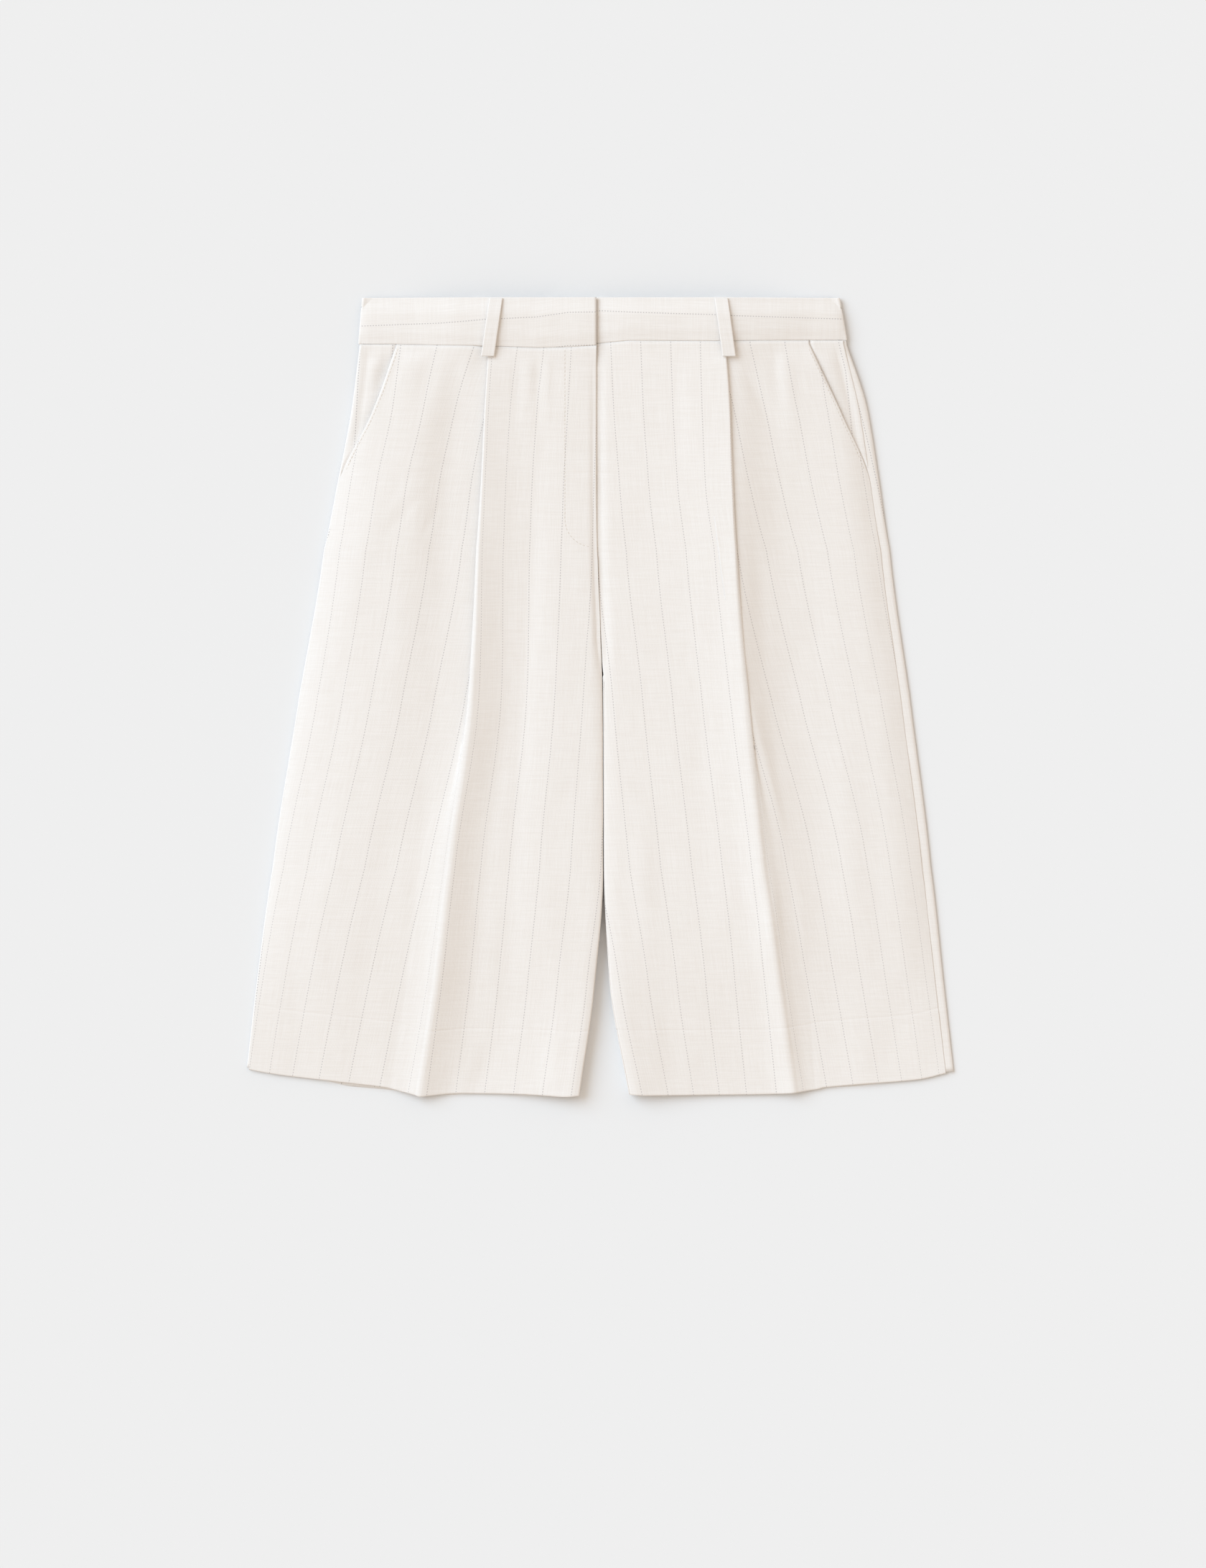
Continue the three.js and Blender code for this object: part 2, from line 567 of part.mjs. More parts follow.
const shorts = new THREE.Group();
function addPiece(name, geometry, finish) {
  const mesh = new THREE.Mesh(geometry, new THREE.MeshStandardMaterial(finish));
  mesh.name = name;
  shorts.add(mesh);
}

for (const [side, leg] of Object.entries(LEGS)) {
  addPiece(`front_${side}`, frontPanel(leg), CLOTH);
  addPiece(`back_${side}`, backPanel(leg), CLOTH);
  addPiece(`pocket_side_${side}`, pocketSide(leg), CLOTH);
  addPiece(`waistband_${side}`, waistband(BANDS[side]), CLOTH);
  addPiece(`belt_loop_front_${side}`, frontLoop(leg), CLOTH);
  addPiece(`belt_loop_back_${side}`, backLoop(leg.sign * BACK_LOOP_ACROSS), CLOTH);
}
addPiece("belt_loop_back_centre", backLoop(0), CLOTH);
addPiece("zip", flyZip(), CLOTH);
addPiece("waist_hook", waistHook(), METAL);
addPiece("waist_bar", waistBar(), METAL);

export default shorts;
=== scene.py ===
# %% [markdown]
# A pair of pleated bermuda shorts lies flat, front upwards, on a pale surface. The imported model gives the
# size and the place of every cut piece. This script lays a thin cloth shell over each of them, gives it the
# weave and the pinstripe, and lights it as a studio would.

# %% Load the frame
import math

import bmesh
import bpy
import numpy as np
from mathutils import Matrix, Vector, noise


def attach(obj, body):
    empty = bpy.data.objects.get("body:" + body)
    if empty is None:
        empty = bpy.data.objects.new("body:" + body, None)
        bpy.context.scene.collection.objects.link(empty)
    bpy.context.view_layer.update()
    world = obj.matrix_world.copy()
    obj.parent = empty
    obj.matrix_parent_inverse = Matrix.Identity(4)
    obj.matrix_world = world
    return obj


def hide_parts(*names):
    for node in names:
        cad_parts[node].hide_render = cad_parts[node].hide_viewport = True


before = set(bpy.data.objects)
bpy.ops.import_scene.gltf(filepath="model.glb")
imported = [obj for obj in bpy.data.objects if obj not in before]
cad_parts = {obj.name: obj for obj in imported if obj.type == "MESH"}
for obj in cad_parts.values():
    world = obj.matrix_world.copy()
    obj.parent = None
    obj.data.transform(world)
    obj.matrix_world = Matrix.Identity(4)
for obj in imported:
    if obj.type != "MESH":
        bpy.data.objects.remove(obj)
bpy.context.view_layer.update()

MM = 0.001
print("nodes in the frame:", len(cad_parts))

# %% [markdown]
# The camera comes first. The photograph was taken from straight above, so a long lens far away gives a view
# with almost no perspective. One pixel of the photograph is a known length on the cloth, which fixes how
# high it hangs.

# %% The camera, straight above
def new_object(name, data):
    made = bpy.data.objects.new(name, data)
    bpy.context.collection.objects.link(made)
    return made


LENGTH = 612.0
PHOTO_WIDTH, PHOTO_HEIGHT = 1680, 2184
MM_PER_PIXEL = 0.55
MIDDLE_PIXEL, WAIST_PIXEL = 836, 415
LENS, SENSOR = 200.0, 36.0

camera_data = bpy.data.cameras.new("camera")
camera_data.lens, camera_data.sensor_width = LENS, SENSOR
camera = new_object("camera", camera_data)
camera.location = (
    (PHOTO_WIDTH / 2 - MIDDLE_PIXEL) * MM_PER_PIXEL * MM,
    (LENGTH / 2 - (PHOTO_HEIGHT / 2 - WAIST_PIXEL) * MM_PER_PIXEL) * MM,
    PHOTO_HEIGHT * MM_PER_PIXEL * MM * LENS / SENSOR,
)
bpy.context.scene.camera = camera
print("camera height in metres:", round(camera.location.z, 3))

# %% [markdown]
# The light is a large soft lamp at the upper left and an even surround. The lamp makes the lit and the
# shaded side of each fold, and the surround keeps the shadows pale, as in a shop's picture. The lamp is a
# touch cool and the surround a touch warm, so that the floor is neutral and only the shadows turn warm.

# %% Light
LAMP_FROM = Vector((-0.80, 0.46, 0.72))
LAMP_WIDTH = math.radians(50)
FLOOR_LIGHT = 1.08
LAMP_SHARE = (0.28, 0.36, 0.44)

scene = bpy.context.scene
scene.view_settings.view_transform = "Standard"
world = bpy.data.worlds.new("studio")
world.use_nodes = True
surround = world.node_tree.nodes["Background"]
surround.inputs["Strength"].default_value = FLOOR_LIGHT
surround.inputs["Color"].default_value = (*[1 - share for share in LAMP_SHARE], 1)
scene.world = world

sun_data = bpy.data.lights.new("soft_sun", "SUN")
LAMP_FROM.normalize()
sun_data.energy = FLOOR_LIGHT * math.pi / LAMP_FROM.z
sun_data.color = LAMP_SHARE
sun_data.angle = LAMP_WIDTH
sun = new_object("soft_sun", sun_data)
sun.rotation_mode = "QUATERNION"
sun.rotation_quaternion = LAMP_FROM.to_track_quat("Z", "Y")

# %% [markdown]
# A few helpers serve every material. One turns a colour as a screen shows it into the linear numbers that a
# shader works in. Another adds a node, sets it and links it in one line, and the next three build on it.

# %% Colour and node helpers
def linear(hex_colour):
    channels = [int(hex_colour[i:i + 2], 16) / 255 for i in (1, 3, 5)]
    return tuple(c / 12.92 if c <= 0.04045 else ((c + 0.055) / 1.055) ** 2.4 for c in channels) + (1.0,)


def add_node(tree, kind, inputs=(), **settings):
    made = tree.nodes.new(kind)
    for name, value in settings.items():
        setattr(made, name, value)
    for name, value in dict(inputs).items():
        if isinstance(value, bpy.types.NodeSocket):
            tree.links.new(value, made.inputs[name])
        else:
            made.inputs[name].default_value = value
    return made


def map_range(tree, value, start, end, to_start=0.0, to_end=1.0):
    ends = {"From Min": start, "From Max": end, "To Min": to_start, "To Max": to_end}
    return add_node(tree, "ShaderNodeMapRange", {"Value": value, **ends}).outputs["Result"]


def mix_colours(tree, share, first, second):
    """A mix of two colours, which go into the node's inputs 6 and 7."""
    return add_node(tree, "ShaderNodeMix", {0: share, 6: first, 7: second}, data_type="RGBA").outputs[2]


def add_waves(tree, vector, pitch, direction):
    """Soft bands, one in every pitch. The texture turns by 20 radians a metre at a scale of one."""
    scale = 2 * math.pi / (20 * pitch)
    waves = add_node(tree, "ShaderNodeTexWave", {"Vector": vector, "Scale": scale}, bands_direction=direction)
    return waves.outputs["Fac"]


def new_material(name, shader):
    material = bpy.data.materials.new(name)
    material.use_nodes = True
    surface = material.node_tree.nodes["Principled BSDF"]
    for socket, value in shader.items():
        surface.inputs[socket].default_value = value
    return material, material.node_tree, surface

# %% [markdown]
# The floor is a matt paper sweep. A faint grain keeps it from looking like a computer's plane, and it is too
# faint to draw the eye.

# %% The paper floor
FLOOR_COLOUR = "#E7E7E7"
paper, tree, surface = new_material("matt_paper", {"Roughness": 0.95, "Specular IOR Level": 0.1})
place = add_node(tree, "ShaderNodeTexCoord")
grain = add_node(tree, "ShaderNodeTexNoise", {"Vector": place.outputs["Object"], "Scale": 900.0})
surface.inputs["Base Color"].default_value = linear(FLOOR_COLOUR)
bump = add_node(tree, "ShaderNodeBump", {"Height": grain.outputs["Fac"], "Strength": 0.04, "Distance": 0.0002})
tree.links.new(bump.outputs["Normal"], surface.inputs["Normal"])


def mesh_of(bm, name, smooth=True):
    mesh = bpy.data.meshes.new(name)
    bm.to_mesh(mesh)
    bm.free()
    if smooth:
        mesh.shade_smooth()
    return mesh


bm = bmesh.new()
bmesh.ops.create_grid(bm, x_segments=1, y_segments=1, size=4)
floor = new_object("floor", mesh_of(bm, "floor", smooth=False))
floor.data.materials.append(paper)

# %% [markdown]
# The cloth is an ivory linen with a fine grey pinstripe: one dark warp thread in every 25 mm, which shows as
# a row of small dots because the weft passes over it at every second thread. The pattern must follow the
# cloth through every fold, so it reads the piece's own cloth map, in metres of cloth across and along, and
# no object coordinates. The weave is drawn at 0.8 mm a thread, coarser than the real one, so that it shows
# at the photograph's size.

# %% The linen and its pinstripe
PINSTRIPE_PITCH = 25.3 * MM
PINSTRIPE_EDGE = (0.2625 * MM, 0.4875 * MM)
DOT_PITCH = 2.1 * MM
DOT_FROM, DOT_TO = (0.45, 0.8), (0.04, 0.5)
THREAD_PITCH = 0.8 * MM
SLUB_LENGTH, SLUB_WIDTH = 26 * MM, 1.1 * MM
SLUB_RANGE = (0.55, 1.45)
LINEN_COLOUR = "#EDE9E5"
LINEN_DEEP = "#E5DFD9"
PINSTRIPE_COLOUR = "#8F8A8C"


def new_linen(name, striped):
    """Plain-woven linen: matt, with uneven thread thickness that shows as short pale and dark streaks."""
    finish = {"Roughness": 0.88, "Specular IOR Level": 0.25, "Sheen Weight": 0.12, "Sheen Roughness": 0.6}
    material, tree, surface = new_material(name, finish)
    cloth = add_node(tree, "ShaderNodeUVMap", uv_map="cloth").outputs["UV"]
    slubs = []
    for stretch in ((1 / SLUB_WIDTH, 1 / SLUB_LENGTH, 1), (1 / SLUB_LENGTH, 1 / SLUB_WIDTH, 1)):
        stretched = add_node(tree, "ShaderNodeMapping", {"Vector": cloth, "Scale": stretch}).outputs["Vector"]
        slub = add_node(tree, "ShaderNodeTexNoise", {"Vector": stretched, "Scale": 1.0, "Detail": 2.0})
        slubs.append(slub.outputs["Fac"])
    height = add_node(tree, "ShaderNodeMath", {0: slubs[0], 1: slubs[1]}, operation="ADD").outputs[0]
    tint = map_range(tree, height, *SLUB_RANGE)
    colour = mix_colours(tree, tint, linear(LINEN_DEEP), linear(LINEN_COLOUR))
    if striped:
        across = add_node(tree, "ShaderNodeSeparateXYZ", {"Vector": cloth}).outputs["X"]
        from_line = add_node(tree, "ShaderNodeMath", {0: across, 1: PINSTRIPE_PITCH / 2}, operation="PINGPONG")
        line = map_range(tree, from_line.outputs[0], *PINSTRIPE_EDGE, 1.0, 0.0)
        dot = map_range(tree, add_waves(tree, cloth, DOT_PITCH, "Y"), *DOT_FROM, *DOT_TO)
        drawn = add_node(tree, "ShaderNodeMath", {0: line, 1: dot}, operation="MULTIPLY").outputs[0]
        colour = mix_colours(tree, drawn, colour, linear(PINSTRIPE_COLOUR))
    tree.links.new(colour, surface.inputs["Base Color"])
    for direction in ("X", "Y"):
        threads = add_waves(tree, cloth, THREAD_PITCH, direction)
        height = add_node(tree, "ShaderNodeMath", {0: threads, 1: 0.5, 2: height}, operation="MULTIPLY_ADD")
        height = height.outputs[0]
    relief = add_node(tree, "ShaderNodeBump", {"Height": height, "Strength": 0.35, "Distance": 0.00018})
    tree.links.new(relief.outputs["Normal"], surface.inputs["Normal"])
    return material


pinstripe_linen = new_linen("pinstripe_linen", striped=True)
plain_tape = new_linen("woven_tape", striped=False)
print("stripes are", PINSTRIPE_PITCH / MM, "mm apart")

# %% [markdown]
# The hook and the bar are stamped from nickel-plated steel and tumbled smooth. They show a soft metallic
# shine with faint brushing, so the roughness varies a little from place to place.

# %% Nickel for the hook and bar
nickel, tree, surface = new_material("nickel_plated_steel", {"Metallic": 1.0, "Base Color": linear("#C9C6C0")})
place = add_node(tree, "ShaderNodeTexCoord")
on_metal = {"Vector": place.outputs["Object"], "Scale": 1500.0, "Detail": 3.0}
marks = add_node(tree, "ShaderNodeTexNoise", on_metal)
rough = map_range(tree, marks.outputs["Fac"], 0.0, 1.0, 0.24, 0.42)
tree.links.new(rough, surface.inputs["Roughness"])

# %% [markdown]
# The garment's own sizes follow. All are in millimetres: depth is measured down from the top edge of the
# waistband, and across from the middle of the garment outwards. Each table has one row for a depth and one
# column for a named line of the leg, as on a cutter's size chart, and every value between the rows comes
# from a smooth curve. The valley is the hollow beside the pleat, and the nook is where the cloth turns back
# under the pleat's edge.

# %% Sizes of the legs
WALL = 1.0
SEAM_GAP = 0.3
LOOP_WALL = 1.4
BAND_WALL = 2.0
PLEAT_DEPTH = 26
PLEAT_LAYER = 1.9
SEAM_DEPTH = 36
HEM_TURN_UP = 50
FLY_END = 193
CROTCH = 300


def mix(start, end, share):
    return start + (end - start) * share


def table(columns, *rows):
    return {name: np.array(values, float) for name, values in zip(columns.split(), zip(*rows))}


def hem_line(seam, brow, slope, valley, edge, foot, mid, lap, inner):
    """The hem's depths at the fourteen points of a leg's section."""
    ridge = [valley + (edge - valley) * share for share in (0.25, 0.55, 0.81, 1)]
    return (seam, mix(seam, brow, 0.22), brow, slope, valley, *ridge, foot, mid, lap, inner, inner)


OUTLINE = "depth seam strip crease inner pocket"
HEIGHTS = "depth seam brow slope valley nook edge foot mid lap inner"
RIGHT = {
    "name": "right",
    "sign": -1,
    "outline": table(
        OUTLINE,
        (35, 182.6, 0.9, 84.5, 2.8, 155.5),
        (85, 189.0, 0.9, 87.5, 2.8, 173.5),
        (140, 199.4, 0.9, 89.7, 2.8, 199.4),
        (193, 210.2, 0.9, 92.6, 2.0, 210.2),
        (305, 229.1, 0.9, 97.4, -2.0, 229.1),
        (437, 249.5, 0.9, 113.9, -2.4, 249.5),
        (525, 261.6, 0.9, 124.3, 3.9, 261.6),
        (612, 271.6, 0.9, 137.5, 16.0, 271.6),
    ),
    "heights": table(
        HEIGHTS,
        (35, 5.0, 9.0, 9.8, 9.6, 9.6, 13.4, 13.2, 12.8, 12.4, 12.2),
        (85, 5.4, 10.4, 12.6, 9.8, 9.8, 15.2, 13.4, 13.6, 13.2, 12.4),
        (173, 5.6, 10.8, 13.6, 10.4, 10.6, 16.4, 13.0, 13.8, 13.6, 12.4),
        (305, 5.6, 10.8, 14.0, 12.0, 12.2, 18.0, 12.0, 13.8, 13.6, 11.2),
        (437, 5.4, 10.2, 13.4, 12.8, 12.8, 18.2, 11.8, 13.2, 13.2, 11.2),
        (612, 4.4, 8.4, 10.0, 9.8, 9.8, 14.4, 9.2, 10.2, 10.8, 9.4),
    ),
    "shares": {"slope": 0.52, "valley": (0.8, 0.8)},
    "hem": hem_line(591, 595, 600.5, 605, 611.8, 609.4, 610, 612, 611.2),
    "loop": (79.6, 86.0),
}
LEFT = {
    "name": "left",
    "sign": 1,
    "outline": table(
        OUTLINE,
        (35, 186.0, 2.0, 95.2, -2.4, 160.0),
        (85, 198.0, 6.2, 98.5, -2.4, 183.5),
        (140, 206.5, 6.6, 100.2, -2.4, 206.5),
        (193, 214.6, 6.6, 102.6, -1.6, 214.6),
        (305, 229.9, 6.6, 110.0, 2.6, 229.9),
        (437, 246.4, 6.4, 123.2, 3.2, 246.4),
        (525, 256.6, 6.0, 135.9, 7.7, 256.6),
        (612, 267.0, 5.4, 148.0, 22.6, 267.0),
    ),
    "heights": table(
        HEIGHTS,
        (35, 4.6, 8.4, 9.2, 9.8, 9.6, 13.4, 12.8, 11.8, 11.2, 10.7),
        (85, 3.6, 7.4, 8.6, 12.0, 12.6, 16.6, 14.4, 12.4, 12.0, 10.9),
        (173, 2.9, 6.6, 7.8, 12.6, 15.2, 18.6, 15.4, 12.8, 12.4, 10.9),
        (305, 2.8, 6.4, 7.4, 11.4, 16.0, 18.6, 15.0, 13.0, 13.0, 11.2),
        (437, 2.8, 6.4, 8.0, 10.6, 10.6, 17.2, 13.6, 12.8, 13.0, 10.8),
        (612, 2.8, 6.0, 7.6, 8.8, 8.8, 13.4, 10.6, 10.4, 10.6, 9.0),
    ),
    "shares": {"slope": 0.62, "valley": (0.8, 0.93)},
    "hem": hem_line(594, 598.6, 603, 605, 609.2, 610, 610.6, 611, 610.2),
    "loop": (92.6, 98.7),
}
PLEAT = table("depth closed", (35, 1.0), (85, 0.88), (173, 0.7), (305, 0.35), (437, 0.0), (612, 0.0))

# %% [markdown]
# The waistband is a folded strip. It lies over the lap in front, turns round the side and runs flat to the
# centre back.

# %% Sizes of the waistband
BAND_UNDERLAP = 34
BACK_LIFT = LOOP_WALL + SEAM_GAP
BACK_BAND = BACK_LIFT + BAND_WALL / 2
RIGHT["band"] = {
    "side": (181.4, 184.4),
    "front": table(
        "across height foot",
        (2.8, 14.0, 37.0), (22, 14.0, 38.2), (46, 13.9, 38.9), (78, 13.8, 37.8), (96, 12.8, 37.2),
        (126, 11.4, 36.6), (156, 10.8, 35.8),
    ),
    "back_inner": 2.8,
}
LEFT["band"] = {
    "side": (182.6, 188.4),
    "front": table(
        "across height foot",
        (-2.8 - BAND_UNDERLAP, 9.2, 35.4), (-12, 9.3, 35.5), (-1, 11.4, 35.4), (22, 13.0, 33.3),
        (88, 13.6, 33.6), (108, 12.6, 33.4), (134, 11.2, 33.0), (160, 10.8, 32.8),
    ),
    "back_inner": -2.4,
}
BAND_SIDE = table("inwards height", (9, 9.9), (2.6, 8.4), (0, 6.1), (2.4, 3.7), (8, BACK_BAND))

# %% [markdown]
# Where the pinstripes run is a matter of how the leg was cut and folded, so it gets a chart too. Stripes are
# counted from the first one beside the pleat, outwards with plus and inwards with minus. The chart says
# which count lies at the pleat's edge and at the seam, on the pocket side and on the fly side, and how far
# the ones between crowd up.

# %% Where the pinstripes run
STRIPES = "depth crease seam crowd fold centre gather"
RIGHT["stripes"] = table(
    STRIPES,
    (35, 3.6, 7.2, 0.17, 0.13, -3.93, 0.1),
    (85, 3.02, 7.4, 0.15, 0.15, -3.98, 0.42),
    (140, 2.63, 7.5, 0.31, 0.13, -4.09, 0.5),
    (193, 2.43, 7.62, 0.33, 0.17, -4.2, 0.5),
    (305, 1.75, 7.76, 0.33, 0.3, -4.7, 0.3),
    (437, 1.22, 7.43, 0.33, 0.15, -5.07, 0.2),
    (525, 0.76, 7.19, 0.38, 0.15, -5.26, 0.08),
    (612, 0.55, 7.0, 0.45, 0.2, -5.26, 0.0),
)
LEFT["stripes"] = table(
    STRIPES,
    (35, 4.27, 7.75, 0.08, 0.85, -3.46, 0.05),
    (85, 3.84, 8.2, 0.22, 0.95, -3.57, 0.05),
    (140, 3.42, 8.27, 0.3, 0.98, -3.78, 0.1),
    (193, 2.92, 8.2, 0.36, 0.76, -3.95, 0.13),
    (305, 2.05, 7.93, 0.3, 0.51, -4.29, 0.08),
    (437, 1.0, 7.67, 0.42, 0.33, -4.81, 0.07),
    (525, 0.8, 7.52, 0.43, 0.42, -5.3, -0.05),
    (612, 0.58, 7.4, 0.45, 0.48, -5.45, -0.25),
)
RIGHT["pocket_stripe"] = table("depth across", (35, 158.7), (62, 160.6), (116, 164.0))
LEFT["pocket_stripe"] = table("depth across", (35, 182.6), (57, 188.1), (85, 191.4), (116, 194.2))
RIGHT["band_stripe"] = table(
    "across depth", (3, 11.5), (24, 11.8), (49, 15.4), (87, 17.1), (120, 19.8), (181, 21.8),
)
LEFT["band_stripe"] = table(
    "across depth", (-36, 10.5), (2, 10.5), (24, 11.6), (85, 13.5), (103, 14.3), (185, 16.5),
)

# %% [markdown]
# The curve helpers work on whole grids of numbers at once, which keeps the script fast. A curve passes
# through the chart's values and never swings past them, because a swing would put a bulge in the cloth that
# nobody drew.

# %% Curves through the charts
def ease(share):
    return share * share * (3 - 2 * share)


def ramp(value, start, end):
    return ease(np.clip((np.asarray(value, float) - start) / (end - start), 0, 1))


def through(values, position):
    """A smooth curve through the values at 0, 1, 2 and so on, which never swings past them."""
    position = np.asarray(position, float)
    values = np.asarray(values, float)
    if values.ndim == 1:
        values = values.reshape((-1,) + (1,) * position.ndim)
    values = np.broadcast_to(values, (len(values),) + position.shape)
    rises = np.diff(values, axis=0)
    before, after = rises[:-1], rises[1:]
    both = before * after
    total = before + after
    bends = np.where(both > 0, 2 * both / np.where(both > 0, total, 1), 0)
    tangents = np.concatenate([rises[:1], bends, rises[-1:]])
    last = len(values) - 1
    at = np.clip(position, 0, last)
    i = np.minimum(last - 1, np.floor(at)).astype(int)
    share = at - i

    def pick(array, k):
        return np.take_along_axis(array, k[None, ...], axis=0)[0]

    lead = share * (1 - share) ** 2 * pick(tangents, i)
    tail = share ** 2 * (1 - share) * pick(tangents, i + 1)
    return mix(pick(values, i), pick(values, i + 1), ease(share)) + lead - tail


def read(chart, name, at):
    """One column of a chart at any depth."""
    keys = chart["depth"]
    place_in = np.clip(at, keys[0], keys[-1])
    i = np.minimum(np.searchsorted(keys[1:], place_in), len(keys) - 2)
    share = (place_in - keys[i]) / (keys[i + 1] - keys[i])
    return through(chart[name], i + share)


def read_straight(chart, name, at):
    return np.interp(at, chart["across"], chart[name])


def both(build):
    """What a function builds for each leg, under the leg's name."""
    return {leg["name"]: build(leg) for leg in (RIGHT, LEFT)}

# %% [markdown]
# A leg's section is drawn through fourteen named points, from the side seam over the pocket side, down under
# the pleat, back up to its edge and across to the fly. In the upper part the pleat is folded shut. Lower
# down it opens into a standing ridge.

# %% The section of a leg
SEAM, VALLEY, EDGE, FOOT, INNER = 0, 4, 8, 9, 13
CHEEK_IN, CHEEK_RISE = 4.5, 0.32
BROW_SHARE, MID_SHARE, LAP_SHARE = 0.17, 0.5, 0.88
FOOT_REACH, FOOT_CLEARANCE = {"right": 30, "left": 20}, 7
RIDGE_OUT = {"low": 20, "middle": 12, "high": 5}
RIDGE_RISE = {"low": 0.6, "middle": 0.36, "high": 0.74}
LAP_TURN, LAP_TURN_RISE = 2.6, 0.1
INSEAM_TURN, INSEAM_TURN_SHARE = 0.6, 0.4
LEG_GAP = 0.5
STIFF_STATIONS, STIFFNESS = (9.4, 11.6), 0.85
HEM_SETTLE = {"reach": 140, "share": 0.95, "least": 2.2, "most": 7.6}


def parted(depth):
    """How far the two legs have parted, from 0 on the fly to 1 below the crotch."""
    return ramp(depth, CROTCH - 45, CROTCH + 8)


def inner_edge(leg, depth):
    return read(leg["outline"], "inner", depth) + LEG_GAP * ramp(depth, CROTCH - 60, CROTCH - 32)


def settle_hem(height, depth, hem, station):
    """Lets the lower end of a leg lie flatter. Its inner edge stays up, for the inseam is thick and stiff."""
    free = 1 - STIFFNESS * ramp(station, *STIFF_STATIONS)
    share = HEM_SETTLE["share"] * ramp(depth, hem - HEM_SETTLE["reach"], hem)
    return height - free * share * np.clip(height - HEM_SETTLE["least"], 0, HEM_SETTLE["most"])


def section(leg, depth):
    """The fourteen places across and heights of the front's middle layer at a depth."""
    depth = np.asarray(depth, float)
    z = {name: read(leg["heights"], name, depth) for name in HEIGHTS.split()[1:]}
    closed = read(PLEAT, "closed", depth)
    opened = 1 - closed
    seam = read(leg["outline"], "seam", depth)
    crease = read(leg["outline"], "crease", depth)
    inner = inner_edge(leg, depth)
    apart = parted(depth)
    tuck = closed * PLEAT_DEPTH
    low = z["nook"]
    rise = z["edge"] - low
    foot = crease - np.maximum(FOOT_REACH[leg["name"]], tuck + FOOT_CLEARANCE)
    shares = leg["shares"]
    across = [
        seam, seam - CHEEK_IN, mix(seam, crease, BROW_SHARE), mix(seam, crease, shares["slope"]),
        mix(seam, crease, mix(*shares["valley"], closed)), crease - tuck + opened * RIDGE_OUT["low"],
        crease - tuck + opened * RIDGE_OUT["middle"], crease + opened * RIDGE_OUT["high"], crease,
        foot, mix(foot, inner, MID_SHARE), mix(foot, inner, LAP_SHARE),
        inner + mix(LAP_TURN, INSEAM_TURN, apart), inner,
    ]
    turn = z["inner"] + mix(LAP_TURN_RISE, INSEAM_TURN_SHARE * (z["lap"] - z["inner"]), apart)
    folded = (np.maximum(low, z["valley"]) + z["edge"]) / 2
    heights = [
        z["seam"], mix(z["seam"], z["brow"], CHEEK_RISE), z["brow"], z["slope"],
        z["valley"], low + opened * RIDGE_RISE["low"],
        low + mix(RIDGE_RISE["middle"] * rise, PLEAT_LAYER, closed),
        mix(low + RIDGE_RISE["high"] * rise, folded, closed), z["edge"],
        z["foot"], z["mid"], z["lap"], turn, z["inner"],
    ]
    return np.array(across), np.array(heights)


def band_seam(leg, station):
    """How deep the seam under the waistband lies at a station of the section."""
    across, _ = section(leg, float(SEAM_DEPTH))
    return read_straight(leg["band"]["front"], "foot", through(across, station))


def front_depth(leg, station, share):
    return mix(band_seam(leg, station), through(leg["hem"], station), share)


def front_at(leg, station, depth):
    """Place across and height of the front's middle layer."""
    across, heights = section(leg, depth)
    return through(across, station), through(heights, station)


def station_at(leg, across, depth):
    """The station, between the seam and the valley, at which the section reaches a place across."""
    places, _ = section(leg, depth)
    low, high = [np.full(np.shape(depth), float(end)) for end in (SEAM, VALLEY)]
    for _ in range(30):
        middle = (low + high) / 2
        outside = through(places, middle) > across
        low = np.where(outside, middle, low)
        high = np.where(outside, high, middle)
    return (low + high) / 2


def placed(leg, across, depth, height):
    """Grid of points in the garment's own frame, in millimetres."""
    return np.stack([leg["sign"] * across, LENGTH / 2 - depth + 0 * across, height + 0 * across], axis=-1)

# %% [markdown]
# Each piece of cloth starts as a plain grid that bmesh makes. Every corner of the grid is then moved to its
# place on the section, and the cloth map is written into the same corners. A Solidify modifier gives the
# shell its thickness, thicker along the hem of the fronts, where the cloth is turned up.

# %% Cloth pieces from grids
SHELL, HEM_SHELL = 0.8, 1.8
OUTWARD = WALL / 2
LEAST_WEIGHT = 0.01


def run_along(points):
    """How far along its row each point of a grid lies."""
    return np.cumsum(np.linalg.norm(np.diff(points, axis=1, prepend=points[:, :1]), axis=-1), axis=1)


def unit(vectors):
    return vectors / np.maximum(np.linalg.norm(vectors, axis=-1, keepdims=True), 1e-9)


def grid_normals(points, up):
    normals = unit(np.cross(np.gradient(points, axis=1), np.gradient(points, axis=0)))
    return normals if (normals[..., 2].mean() > 0) == up else -normals


